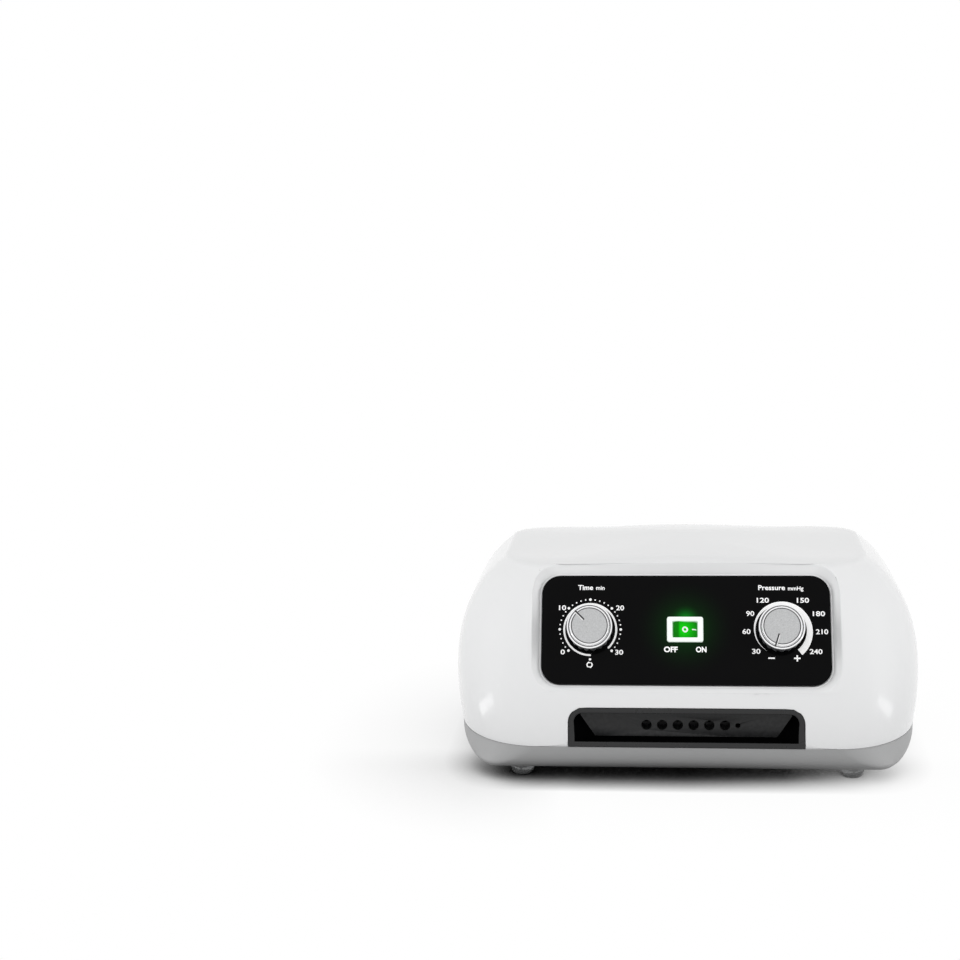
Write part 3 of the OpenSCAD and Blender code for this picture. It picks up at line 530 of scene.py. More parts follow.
def base_row(key, t, depth=0.0, z=None):
    """Ring of the base at a key, moved inwards by depth, at the key's height or at z."""
    own = key[3]
    corner = tuple((1 - own)*a + own*b for a, b in zip(CORNER, BASE_CORNER))
    x, y = unit_plan(t, corner)
    reach = np.where(y < 0, FRONT[0][0], BACK[0][0]) - key[2] - depth
    flat = np.stack([x*(SIDE[0][0] - key[1] - depth), y*reach], -1)
    return at_height(flat, key[0] if z is None else z)


base = Shape()
around = np.linspace(0, 4, 321)[:-1]
keys = cut_corners(BASE_KEYS, 3)
keys = np.concatenate([[[SEAM_Z, SEAM_RADIUS, SEAM_RADIUS, 0], [SEAM_Z - 0.1, 0.2, 0.2, 0],
                        [SEAM_Z - 0.4, 0.03, 0.03, 0.02]], keys[1:]])
outer_rows = [base_row(k, around) for k in keys[::-1]]
lift = (SEAM_Z - FLOOR_Z - BASE_WALL)/(SEAM_Z - FLOOR_Z)
inner_rows = [base_row(k, around, BASE_WALL, SEAM_Z - (SEAM_Z - k[0])*lift) for k in keys]
base.rows(outer_rows + inner_rows)
base.fan(outer_rows[0][::-1], [0, 0, FLOOR_Z])
base.fan(inner_rows[-1], [0, 0, FLOOR_Z + BASE_WALL])
base_housing = base.piece("base_housing", 30)


def prism(name, outline, low, high):
    """Closed prism on an outline that turns counterclockwise seen from above."""
    shape = Shape()
    shape.solid([at_height(outline, z) for z in (low, high)])
    return shape.piece(name)


def carve(piece, cutters):
    """Cuts closed pieces out of a piece, and removes them."""
    for cutter in cutters:
        cut = piece.modifiers.new("cut", "BOOLEAN")
        cut.object, cut.solver = cutter, "MANIFOLD"
    mesh = baked(piece)
    piece.modifiers.clear()
    piece.data = mesh
    for cutter in cutters:
        bpy.data.objects.remove(cutter)
    mesh.set_sharp_from_angle(angle=math.radians(30))


# %% [markdown]
# The floor is flat and is seen only from below, so there a boolean does no harm: it cuts two rows
# of air slots and the wells of the four housing screws.

# %% Cut the floor
BOSSES = [(x, y) for y in (-58, 62) for x in (-104, 104)]
FEET = [(x, y) for y in (-75, 68) for x in (-96, 96)]
AIR_SLOT, SLOTS_IN_ROW, SLOT_PITCH, SLOT_ROWS = (3.4, 27.4, 1.69), 8, 9, (-34, 6)
BOSS = [(5.8, 10.2), (5.8, 21.9), (2.1, 21.9), (2.1, 13.8), (4.0, 13.8), (4.0, 8.6), (4.05, 8.6),
        (5.8, 10.2)]             # radius and height, up the outside and down the screw's hole
slot_line = rounded_sides(*AIR_SLOT, (4, 6, 4, 6))
slots = [prism("slot", slot_line + [(k - (SLOTS_IN_ROW - 1)/2)*SLOT_PITCH, y], 5, 15)
         for y in SLOT_ROWS for k in range(SLOTS_IN_ROW)]
wells = [prism("well", circle(4, 40, boss), 0, 14) for boss in BOSSES]
carve(base_housing, slots + wells)
bosses = Shape()
for boss in BOSSES:
    bosses.rows([at_height(circle(r, 40, boss), z) for r, z in BOSS])
base_bosses = bosses.piece("base_bosses", 30)
print("base:", len(base_housing.data.polygons), "faces")

# %% [markdown]
# ## The hose tray
# The tray is a black frame with a leaning lip. Its floor is level, its sides close in towards
# the back, and the plate with the sockets shuts it. Matching loops run round it in the same
# steps: the outside, the rounded lip, the mouth and the back edge.

# %% Build the hose tray
TRAY_BACK, WELL_BOTTOM = -82.5, 3.2
TRAY_STEPS = (14, 12, 60, 60)    # steps on a side, on a corner, on the top and on the bottom


def tray_loop(foot, top, radius, height, rise=0.0):
    """Right side from the foot up to the corner, corner arc, top, back down the other side, and
    under. The side may lean: foot is its half width below, top its half width above."""
    bend = arc(radius, 0, 90, TRAY_STEPS[1] + 1, (top - radius, height - radius))
    ends = ((foot, 0), bend[0]), (bend[-1], bend[-1]*[-1, 1]), ((-foot, 0), (foot, 0))
    side, over, under = (np.linspace(*pair, TRAY_STEPS[k] + 1) for k, pair in zip((0, 2, 3), ends))
    half = np.concatenate([side[:-1], bend[:-1]])
    return np.concatenate([half, over, (half*[-1, 1])[::-1], under[1:-1]]) + [0, rise]


def to_back(points):
    """The same points pushed along the lip's axis to the plane of the tray's back."""
    out = LIP.axes[2]
    return points + ((TRAY_BACK - points[:, 1])/out[1])[:, None]*out


# Half widths at the foot and at the top, corner radius, height, rise over the seam.
FRAME, MOUTH = (67.7, 67.7, 8.5, 22.7, 0.02), (64.7, 64.7, 5.5, 16.5, WELL_BOTTOM)
BACK_PLATE = (52.5, 60.9, 2.6, 15.2, WELL_BOTTOM)
frame_out, mouth = (LIP.place(tray_loop(*sizes), 0) for sizes in (FRAME, MOUTH))
back_flat = tray_loop(*BACK_PLATE)
back_edge = np.insert(back_flat + [0, SEAM_Z], 1, TRAY_BACK, axis=1)
outside_back = to_back(frame_out)
outside_back[:, 2] = np.maximum(outside_back[:, 2], SEAM_Z + 0.02)
rows = [back_edge, outside_back, frame_out, mouth, back_edge]
rows = softened(rows, 3, 0.9, 6)
rows = softened(rows, 2, 1.1, 6)
tray = Shape()
tray.rows(rows)
hose_tray = tray.piece("hose_tray_frame", 40)

# %% [markdown]
# ## The control panel
# The panel is a sheet of black acrylic, 3 mm thick, with polished rounded edges, holes for the two
# control shafts and a window for the switch. It is drawn as a filled curve, because a curve gives
# clean holes and a bevel in one step.

# %% Build the panel
PANEL_SIZE, DIAL_X, SHAFT_HOLE = (167, 64.6, 11), 55.1, 4.8


def curve_mesh(curve):
    """Mesh of a curve or a text, made through an object that is removed again."""
    flat = put(curve.name, curve)
    mesh = baked(flat)
    bpy.data.objects.remove(flat)
    return mesh


def plate(name, outlines, thickness, bevel, matrix):
    """Plate between z = -thickness and 0 of a face: the first outline, with the others as holes. It
    is made a mesh before its place is applied."""
    curve = bpy.data.curves.new(name, "CURVE")
    curve.dimensions, curve.fill_mode = "2D", "BOTH"
    curve.bevel_depth, curve.bevel_resolution = bevel*MM, 2
    curve.extrude, curve.offset = (thickness/2 - bevel)*MM, -bevel*MM
    for outline in outlines:
        count = len(outline)
        spline = curve.splines.new("POLY")
        spline.points.add(count - 1)
        co = np.column_stack([np.asarray(outline)*MM, np.zeros(count), np.ones(count)])
        spline.points.foreach_set("co", co.ravel())
        spline.use_cyclic_u = True
    mesh = curve_mesh(curve)
    mend(mesh, 1e-6, outwards=True)
    mesh.transform(Matrix.Translation((0, 0, -thickness/2*MM)))
    mesh.transform(matrix)
    smooth(mesh, 12)
    return put(name, mesh)


def box_outline(left, right, low, high):
    """Rectangle, counterclockwise from its top right corner."""
    return np.array([[right, high], [left, high], [left, low], [right, low]], float)


def polygon_outline(width, height, radius, steps=10):
    """Rounded rectangle with points only in its corners, counterclockwise."""
    a, b = width/2 - radius, height/2 - radius
    return np.concatenate([arc(radius, 90*k, 90*k + 90, steps + 1, middle)
                           for k, middle in enumerate(((a, b), (-a, b), (-a, -b), (a, -b)))])


holes = [circle(SHAFT_HOLE, 48, (x, 0)) for x in (-DIAL_X, DIAL_X)]
holes.append(box_outline(-9.7, 9.7, -6.7, 6.7))
panel_plate = plate("panel_plate", [polygon_outline(*PANEL_SIZE, 24)] + holes, 2.98, 0.35,
                    PANEL.matrix())

# %% [markdown]
# The switch's white bezel is a stack of rounded rectangles: the body below the panel, the flange
# with its soft edge, and the well that the rocker sits in.

# %% Build the switch's bezel
# Width, height, corner radius and level.
BEZEL = [(19, 13, 0.3, -15), (19, 13, 0.3, 0), (20.6, 14.6, 1.1, 0), (21, 15, 1.3, 0.25),
         (21, 15, 1.3, 1.1), (20.65, 14.65, 1.15, 1.5), (20.1, 14.1, 0.9, 1.6),
         (15.4, 10.2, 0.6, 1.6), (14.85, 9.65, 0.4, 1.45), (14.7, 9.5, 0.35, 1.1),
         (14.7, 9.5, 0.35, -13)]
bezel = Shape()
bezel.solid([PANEL.place(rounded_sides(w, h, r, (24, 16, 24, 16)), z) for w, h, r, z in BEZEL])
switch_bezel = bezel.piece("switch_bezel", 40)

# %% [markdown]
# ## The rocker
# A rocker has two faces that meet in a crest. It is drawn along its length as a smooth profile,
# carried across its width with rounded shoulders, and then tilted to its ON stop, with the right
# half pressed in. The ring and the bar on it are thin raised prints.

# %% Build the rocker
ROCKER_TILT, ROCKER_PIVOT, HALF_ROCKER = math.radians(12), -2.4, 4.5
# Length from the crest and height of the right half's outline, down to its foot.
PROFILE = np.array([[0, 3.1], [0.6, 3.2], [1.5, 3.42], [3.0, 3.85], [4.4, 4.1], [5.6, 3.45],
                    [6.6, 2.15], [6.85, 1.7], [6.85, -1.6]])
PROFILE_X, PROFILE_Z = np.concatenate([PROFILE[:0:-1]*[-1, 1], PROFILE]).T
# Across the width: share of the half width, and how far the top drops there.
SHOULDERS = [(-1, 0.5), (-0.985, 0.22), (-0.94, 0.05), (-0.8, 0), (-0.4, 0), (0, 0), (0.4, 0),
             (0.8, 0), (0.94, 0.05), (0.985, 0.22), (1, 0.5)]
PRINT_RISE, PRINT_SINK = 0.06, -0.05     # the marks' top over the rocker, and their hidden foot


def tilted(points):
    """From the rocker's own place, lying level about its pivot, to the panel's axes, turned to ON."""
    c, s = math.cos(ROCKER_TILT), math.sin(ROCKER_TILT)
    x, y, z = points[..., 0], points[..., 1], points[..., 2]
    return PANEL.place(np.stack([x*c + z*s, y], -1), ROCKER_PIVOT + z*c - x*s)


def crest(x):
    """Height of the rocker's top along its length."""
    return np.interp(x, PROFILE_X[1:-1], PROFILE_Z[1:-1])


rocker = Shape()
foot_z = PROFILE_Z[0]
top = np.stack([np.stack([PROFILE_X, np.full(len(PROFILE_X), HALF_ROCKER*y),
                          np.maximum(PROFILE_Z - drop, foot_z)], -1) for y, drop in SHOULDERS])
rocker.rows(tilted(top)[::-1], closed=False)
for ring in (top[0], top[-1], np.concatenate([top[:, 0], top[::-1, -1]])):
    rocker.cap(tilted(ring))
rocker_piece = rocker.piece("rocker", 50)
mend(rocker_piece.data, outwards=True)

marks = Shape()
rows = []
for radius, level in ((1.8, PRINT_SINK), (1.8, PRINT_RISE), (0.85, PRINT_RISE), (0.85, PRINT_SINK)):
    flat = circle(radius, 40, (-0.75, 0))
    rows.append(tilted(np.column_stack([flat, crest(flat[:, 0]) + level])))
marks.rows(rows)
x = np.linspace(3.3, 6.2, 10)
bar = [np.column_stack([x, np.full(len(x), y), crest(x) + level]) for y, level in
       ((-0.35, PRINT_SINK), (-0.35, PRINT_RISE), (0.35, PRINT_RISE), (0.35, PRINT_SINK))]
marks.rows(tilted(np.array(bar)), closed=False)
rocker_marks = marks.piece("rocker_marks", 30)

# %% [markdown]
# ## The dials
# Each knob has a dark skirt with 20 ribs and a silver face. Both are surfaces of revolution whose
# radius or height changes with the angle: the skirt's radius dips between the ribs, and the face
# sinks along the pointer. The dials are turned as in the photograph before they are placed.

# %% Build the dials
KNOB_R, RIBS = 13.25, 20
POINTER_W, POINTER_START, FACE_Z = 0.9, 4.9, 11.52
POINTER = {"time": 45.0, "pressure": -197.4}      # degrees, counterclockwise from the top
# Radius, height, and how deep the furrows between the ribs are.
SKIRT = [(4.2, 8.6, 0), (4.2, 0.9, 0), (11.0, 0.85, 0), (12.5, 0.85, 0.2), (12.9, 1.0, 0.9),
         (13.1, 1.4, 1.1), (13.15, 5.0, 1.1), (13.2, 8.2, 1.1), (13.1, 8.7, 0.8),
         (12.6, 9.0, 0.3), (12.0, 9.05, 0)]
# Inset from the knob's radius, and height: the rim, its groove, and the face's own edge.
FACE = [(0.6, 8.95), (0, 9.1), (0, 9.7), (0.1, 10.1), (0.4, 10.4), (0.75, 10.5), (1.0, 10.35),
        (1.15, 10.1), (1.35, 10.4), (1.6, 11.2), (1.8, 11.7), (2.05, 11.93), (2.3, 11.97),
        (2.55, 11.85), (2.7, 11.55), (2.85, 11.4), (3.0, 11.5)]


def paint_pointer_light(face, x, turn):
    """Two point attributes, each from 0 to 1, on the pointer's groove: a painted shade on its upper
    wall and its bottom, a painted highlight on its lower wall, which faces up."""
    flat = PANEL.read(places(face.data.vertices))
    a = math.radians(turn)
    u = flat[:, 0] - x
    across = u*math.cos(a) + flat[:, 1]*math.sin(a)
    along = -u*math.sin(a) + flat[:, 1]*math.cos(a)
    inside = (along > POINTER_START - 0.3)*(along < KNOB_R - 1.2)
    inside = inside*(np.abs(across) < POINTER_W/2 + 0.32)
    upper = across*math.copysign(1, math.sin(a)) > -0.1
    for label, mask in (("shaded", inside*upper), ("bright", inside*~upper)):
        values = mask.astype(np.float32)
        face.data.attributes.new(label, "FLOAT", "POINT").data.foreach_set("value", values)


def dial(name, x, turn):
    """Skirt and face of the knob at x, turned by an angle in degrees."""
    angle = np.linspace(0, 2*np.pi, RIBS*16 + 1)[:-1]
    turned = angle + math.radians(turn)

    def ring(radius, height):
        flat = np.stack([x - radius*np.sin(turned), radius*np.cos(turned)], -1)
        return PANEL.place(flat, height)

    furrow = 1 - np.abs(np.cos(angle*RIBS/2))**0.8
    skirt = Shape()
    skirt.solid([ring(radius - deep*furrow, height) for radius, height, deep in SKIRT])

    face = Shape()
    profile = [(KNOB_R - inset, height) for inset, height in FACE]
    profile += [(radius, FACE_Z) for radius in np.linspace(KNOB_R - 3.15, 0.4, 52)]
    rows = []
    for radius, height in profile:
        across, along = np.abs(radius*np.sin(angle)), radius*np.cos(angle)
        beyond = np.hypot(np.maximum(across - POINTER_W/2, 0), np.maximum(POINTER_START - along, 0))
        sunk = np.clip(1 - beyond/0.35, 0, 1) if radius < KNOB_R - 1.2 else 0*angle
        sunk = sunk*sunk*(3 - 2*sunk)
        rows.append(ring(radius, height*(1 - sunk) + min(height, 10.8)*sunk))
    face.rows(rows)
    face.fan(rows[-1], PANEL.place(np.array([x, 0.0]), FACE_Z))
    face.cap(rows[0][::-1])
    piece = face.piece(name + "_face", 30)
    paint_pointer_light(piece, x, turn)
    flat = PANEL.read(places(piece.data.polygons, "center"))
    inset = KNOB_R - np.hypot(flat[:, 0] - x, flat[:, 1])
    rim = (inset > 1.4)*(inset < 2.65) + (inset > 0.2)*(inset < 0.95)
    # The grooves take a darker finish than the face: a painted shade.
    groove = (inset > 2.65)*(inset < 3.1) + (inset > 0.95)*(inset < 1.4)
    for _ in range(3):           # the face, its rim and its grooves each have a finish
        piece.data.materials.append(None)
    piece.data.polygons.foreach_set("material_index", (rim + 2*groove).astype(np.int32))
    return skirt.piece(name + "_skirt", 50), piece


time_skirt, time_face = dial("time_dial", -DIAL_X, POINTER["time"])
pressure_skirt, pressure_face = dial("pressure_dial", DIAL_X, POINTER["pressure"])

# %% [markdown]
# ## The print on the panel
# Lettering is text turned into a mesh, lying 0.03 mm above the panel. The arcs and dots are thin
# strips and discs. Their places are those of the photograph, in millimetres on the panel.

# %% Print the dials' scales
PRINT = 0.03
CROSSING = PRINT + 0.005         # a print that crosses another lies a little higher
# Text, x from the middle, y, width, height, and how much bolder its strokes are.
LETTERS = {-DIAL_X: [("10", -16.3, 12.9, 4.2), ("20", 17.4, 12.9, 4.7), ("0", -15.9, -13.4, 2.5),
                     ("30", 16.9, -13.4, 4.7), ("Time", -2.9, 25.1, 8.8, 2.8, 0.1),
                     ("min", 5.8, 24.9, 5.0, 2.4, 0.07)],
           DIAL_X: [("120", -10.1, 17.6, 7.0), ("150", 12.9, 17.6, 7.0), ("90", -17.5, 9.7, 4.7),
                    ("180", 21.8, 9.7, 7.0), ("60", -19.8, -0.9, 4.7), ("210", 23.3, -0.9, 7.0),
                    ("30", -14.4, -12.5, 4.8), ("240", 19.6, -12.5, 7.2),
                    ("Pressure", -4.9, 25.1, 15.4, 2.8), ("mmHg", 8.9, 24.7, 8.9, 2.3, 0.06)],
           0: [("OFF", -8.3, -11.6, 8.0, 3.0, 0.16), ("ON", 9.2, -11.6, 6.1, 3.0, 0.16)]}
# Bars of the minus and the plus: left, right, low, high, level.
BARS = [(-7.6, -3.9, -16.9, -16.05, PRINT), (7.0, 10.7, -16.9, -16.05, PRINT),
        (8.42, 9.28, -18.3, -14.65, CROSSING)]
printed = Shape()


def disc(x, y, diameter):
    """Dot on the panel."""
    printed.cap(PANEL.place(circle(diameter/2, 20, (x, y)), PRINT))


def strip(x, y, angles, inner, outer, ends=True):
    """Band round (x, y); angles run clockwise from the top in degrees, with a radius each."""
    a = np.radians(angles)
    inner, outer = (np.broadcast_to(np.asarray(v, float), a.shape) for v in (inner, outer))
    rows = [np.stack([x + r*np.sin(a), y + r*np.cos(a)], -1) for r in (inner, outer)]
    printed.rows(PANEL.place(np.array(rows)[:, ::-1], PRINT), closed=False)
    for k in (0, -1) if ends else ():
        middle, wide = (inner[k] + outer[k])/2, outer[k] - inner[k]
        disc(x + middle*np.sin(a[k]), y + middle*np.cos(a[k]), wide)


def lettering(body, x, y, width, height=2.75, bold=0.08):
    """Text of a capital height and a width, centred on (x, y), with its strokes made bolder."""
    curve = bpy.data.curves.new("lettering", "FONT")
    curve.body, curve.size = body, height/0.69*MM      # a capital is 0.69 of the size
    curve.offset, curve.resolution_u = bold*MM, 4
    mesh = curve_mesh(curve)
    co = places(mesh.vertices)[:, :2]
    low, high = co.min(0), co.max(0)
    co[:, 0] = x + (co[:, 0] - (low[0] + high[0])/2)*width/(high[0] - low[0])
    co[:, 1] += y - height/2
    start = printed.add(PANEL.place(co, PRINT))
    for polygon in mesh.polygons:
        corners = [start + c for c in polygon.vertices]
        printed.faces.append(corners if polygon.normal.z >= 0 else corners[::-1])
    bpy.data.meshes.remove(mesh)


for middle, texts in LETTERS.items():
    for body, x, *rest in texts:
        lettering(body, x + middle, *rest)

strip(-DIAL_X, 0, np.linspace(180, 495, 120), 14.65, 15.75)
for k in range(31):              # a dot for each minute, a larger one for each fifth
    a = math.radians(-135 + 9*k)
    disc(-DIAL_X + 17.8*math.sin(a), 17.8*math.cos(a), 1.55 if k % 5 == 0 else 0.85)
disc(-DIAL_X, -17.7, 1.4)
sign_x, sign_y = -DIAL_X - 0.2, -20.9
for turn in (0, 180):            # two arrows chase each other round the sign for running on
    strip(sign_x, sign_y, np.linspace(25, 155, 30) + turn, 1.15, 1.8, False)
    tip = np.radians(turn + 155 + np.array([0, 0, 50]))
    reach = np.array([2.15, 0.8, 1.48])
    arrow = np.stack([sign_x + reach*np.sin(tip), sign_y + reach*np.cos(tip)], -1)
    printed.cap(PANEL.place(arrow[::-1], CROSSING))

for *sides, level in BARS:
    printed.cap(PANEL.place(box_outline(*sides) + [DIAL_X, 0], level))
sweep = np.linspace(-146, 141, 110)
strip(DIAL_X, 0, sweep, 14.7, 14.75 + 4.0*(sweep + 146)/287, False)
panel_print = printed.piece("panel_print", 30, 0.0)

# %% [markdown]
# ## Feet
# A foot is a profile turned about an upright axis: a rounded pad under a waist and a stem.

# %% Turn the feet
# Radius and height of each ring, up the outside.
FOOT = [(4.4, 0.0), (5.0, 0.08), (5.45, 0.3), (5.8, 0.65), (6.3, 1.4), (6.8, 2.4), (7.25, 3.7),
        (7.6, 5.0), (7.8, 6.2), (7.88, 7.2), (7.88, 7.7), (7.6, 7.95), (3.1, 8.05), (3.1, 11.6),
        (3.6, 12.0), (2.6, 12.8)]


def turned_piece(name, profile, middle, count=64):
    """Closed surface of revolution about z from (radius, height) pairs that go up the outside."""
    shape = Shape()
    shape.solid([at_height(circle(r, count, middle), z) for r, z in profile])
    return shape.piece(name)


feet = [turned_piece("foot_%d" % k, FOOT, middle) for k, middle in enumerate(FEET)]

# %% [markdown]
# ## Softened copies of CAD nodes
# Some CAD parts have the right shape and only lack the rounded edges of real mouldings. A CAD mesh
# is loose triangles and is never changed, so a copy is merged, its flat triangles are joined, and
# a bevel modifier rounds its edges.

# %% Copy and soften
SOFT_EDGES = {"outlet_manifold": 0.25, "mains_inlet": 0.4, "inlet_pins": 0.25, "fuse_holder": 0.35,
              "fuse_cap": 0.35, "housing_screws": 0.15}


def softened_copy(node, width, body="housing", turn=35):
    """Copy of a CAD node whose edges of more than turn degrees are rounded, width in millimetres."""
    mesh = frame["nodes"][node].data.copy()
    mesh.materials.clear()
    mend(mesh, 2e-6, flat=0.5)
    smooth(mesh, turn)
    obj = put(node + "_soft", mesh)
    bevel = obj.modifiers.new("edges", "BEVEL")
    bevel.width, bevel.segments = width*MM, 2
    bevel.limit_method, bevel.angle_limit = "ANGLE", math.radians(turn)
    bevel.use_clamp_overlap, bevel.harden_normals = True, True
    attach(obj, body)
    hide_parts(node)
    return obj


soft = {node: softened_copy(node, width) for node, width in SOFT_EDGES.items()}

# %% [markdown]
# ## Which piece stands for which part
# Every new piece rides on the body of the CAD part that it stands for, so that it moves with the
# joints.

# %% Tie the pieces to the frame
TIES = [(upper_housing, "housing", ["upper_shell"]), (base_housing, "housing", ["lower_shell"]),
        (base_bosses, "housing", []), (hose_tray, "housing", ["hose_tray"]),
        (panel_plate, "housing", ["control_panel"]), (panel_print, "housing", []),
        (switch_bezel, "housing", ["switch_housing"]),
        (rocker_piece, "power_rocker", ["switch_rocker"]), (rocker_marks, "power_rocker", []),
        (time_skirt, "time_dial", ["time_knob"]), (time_face, "time_dial", ["time_knob_cap"]),
        (pressure_skirt, "pressure_dial", ["pressure_knob"]),
        (pressure_face, "pressure_dial", ["pressure_knob_cap"])]
TIES += [(foot, "housing", ["foot_" + place]) for foot, place in
         zip(feet, ("front_left", "front_right", "rear_left", "rear_right"))]
for piece, body, nodes in TIES:
    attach(piece, body)
    if nodes:
        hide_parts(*nodes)

# %% [markdown]
# ## Finishes
# Real plastic is never one flat colour. Three small node groups are shared by all finishes: a soft
# variation of tone, a fine moulded grain, and the wear on edges. Each material mixes them in its
# own measure, and sets its constants on the shader itself.

# %% Shared node groups


class Nodes:
    """A node tree being wired. make() adds a node and feeds it; the others add the nodes of one
    step and give the socket that comes out."""

    def __init__(self, tree, clear=True):
        self.tree = tree
        if clear:
            tree.nodes.clear()

    def make(self, kind, settings=None, **inputs):
        """Adds a node, with its settings and its inputs."""
        node = self.tree.nodes.new(kind)
        for key, value in (settings or {}).items():
            setattr(node, key, value)
        return self.feed(node, **inputs)

    def feed(self, node, **inputs):
        """Links sockets to a node's inputs and sets values on them. i0 is the first input."""
        for key, value in inputs.items():
            numbered = key[0] == "i" and key[1:].isdigit()
            socket = node.inputs[int(key[1:]) if numbered else key.replace("_", " ")]
            if isinstance(value, bpy.types.NodeSocket):
                self.tree.links.new(value, socket)
            else:
                socket.default_value = value
        return node

    def math(self, kind, *values):
        """One step of arithmetic."""
        inputs = {"i%d" % k: value for k, value in enumerate(values)}
        return self.make("ShaderNodeMath", {"operation": kind}, **inputs).outputs[0]

    def ramp(self, value, start, end, low=0.0, high=1.0, kind="LINEAR"):
        """The value from start to end becomes low to high, and stays there beyond."""
        return self.make("ShaderNodeMapRange", {"interpolation_type": kind}, Value=value,
                         From_Min=start, From_Max=end, To_Min=low, To_Max=high).outputs[0]

    def mix(self, factor, low, high):
        """Colour between low and high."""
        return self.make("ShaderNodeMix", {"data_type": "RGBA"}, i0=factor, i6=low,
                         i7=high).outputs[2]

    def shared(self, name, **inputs):
        """One of the shared node groups."""
        return self.make("ShaderNodeGroup", {"node_tree": bpy.data.node_groups[name]},
                         **inputs).outputs[0]

    def place(self):
        """The object's own coordinates."""
        return self.make("ShaderNodeTexCoord").outputs["Object"]

    def noise(self, scale, detail, rough=0.5):
        """Clouds of noise, from 0 to 1."""
        return self.make("ShaderNodeTexNoise", Vector=self.place(), Scale=scale, Detail=detail,
                         Roughness=rough).outputs["Fac"]

    def distance(self, kind, other):
        """Length of the place after one step of vector math with another vector."""
        moved = self.make("ShaderNodeVectorMath", {"operation": kind}, i0=self.place(), i1=other)
        return self.make("ShaderNodeVectorMath", {"operation": "LENGTH"},
                         i0=moved.outputs[0]).outputs["Value"]

    def openness(self, reach, lean):
        """Ambient occlusion within reach metres, about a leaning normal: 1 where all is open."""
        return self.make("ShaderNodeAmbientOcclusion", {"samples": 12}, Distance=reach,
                         Normal=lean).outputs["AO"]

    def seen(self):
        """1 for the camera, for mirror images and through clear things, 0 for diffuse light."""
        rays = self.make("ShaderNodeLightPath").outputs
        either = self.math("MAXIMUM", rays["Is Camera Ray"], rays["Is Glossy Ray"])
        return self.math("MAXIMUM", either, rays["Is Transmission Ray"])


def group(name, size, label):
    """New node group with the input Size and one output: its nodes, its size and its end."""
    tree = bpy.data.node_groups.new(name, "ShaderNodeTree")
    face, kind = tree.interface, "NodeSocketFloat"
    face.new_socket("Size", in_out="INPUT", socket_type=kind).default_value = size
    face.new_socket(label, in_out="OUTPUT", socket_type=kind)
    n = Nodes(tree)
    return n, n.make("NodeGroupInput").outputs["Size"], n.make("NodeGroupOutput")


# Tone: broad and small clouds of noise, from 0 to 1 round a half.
n, size, end = group("tone_variation", 60.0, "Tone")
clouds = n.make("ShaderNodeMix", {"data_type": "FLOAT"}, i0=0.35, i2=n.noise(size, 3.0, 0.55),
                i3=n.noise(n.math("MULTIPLY", size, 5.3), 2.0))
n.feed(end, Tone=clouds.outputs[0])

# Grain: the spark-eroded texture of a mould, as a height from 0 to 1.
n, size, end = group("moulded_grain", 2500.0, "Height")
cells = n.make("ShaderNodeTexVoronoi", Vector=n.place(), Scale=size)
n.feed(end, Height=n.math("MULTIPLY_ADD", cells.outputs["Distance"], 0.5, n.noise(size, 3.0)))

# Wear: convex edges, broken up by noise.
n, size, end = group("edge_wear", 400.0, "Mask")
edges = n.ramp(n.make("ShaderNodeNewGeometry").outputs["Pointiness"], 0.53, 0.62)
n.feed(end, Mask=n.math("MULTIPLY", edges, n.ramp(n.noise(size, 4.0), 0.4, 0.6)))


def shade(colour, factor=1):
    """A colour made lighter or darker, with its alpha."""
    return (*[min(c*factor, 1) for c in colour], 1)


def finish(name, colour, rough, metal=0.0, tone=0.04, tone_size=60.0, rough_swing=0.06, grain=0.0,
           grain_size=2500.0, wear=0.0, wear_colour=None, specular=0.5, coat=0.0, coat_rough=0.05,
           sss=0.0, clear=0.0, marks=()):
    """Material whose colour and roughness swing with the tone, whose edges wear, and whose grain is
    a bump of the given depth in millimetres. Marks are attributes and the colours that they paint."""
    material = bpy.data.materials.new(name)
    material.use_nodes = True
    n = Nodes(material.node_tree)
    cloud = n.shared("tone_variation", Size=tone_size)
    skin = n.mix(cloud, shade(colour, 1 - tone), shade(colour, 1 + tone))
    if wear:
        worn = n.math("MULTIPLY", n.shared("edge_wear"), wear)
        skin = n.mix(worn, skin, shade(wear_colour or colour))
    for label, paint in marks:
        painted = n.make("ShaderNodeAttribute", {"attribute_name": label}).outputs["Fac"]
        skin = n.mix(painted, skin, shade(paint))
    swing = n.ramp(cloud, 0.3, 0.7, max(rough - rough_swing, 0.01), min(rough + rough_swing, 1))
    surface = n.make("ShaderNodeBsdfPrincipled", Base_Color=skin, Roughness=swing, Metallic=metal,
                     Transmission_Weight=clear, Specular_IOR_Level=specular, Coat_Weight=coat,
                     Coat_Roughness=coat_rough)
    if sss:
        n.feed(surface, Subsurface_Weight=sss, Subsurface_Scale=0.002)
    if grain:
        bump = n.make("ShaderNodeBump", Height=n.shared("moulded_grain", Size=grain_size),
                      Strength=1.0, Distance=grain*MM)
        n.feed(surface, Normal=bump.outputs[0])
    n.make("ShaderNodeOutputMaterial", Surface=surface.outputs[0])
    return material, n, surface
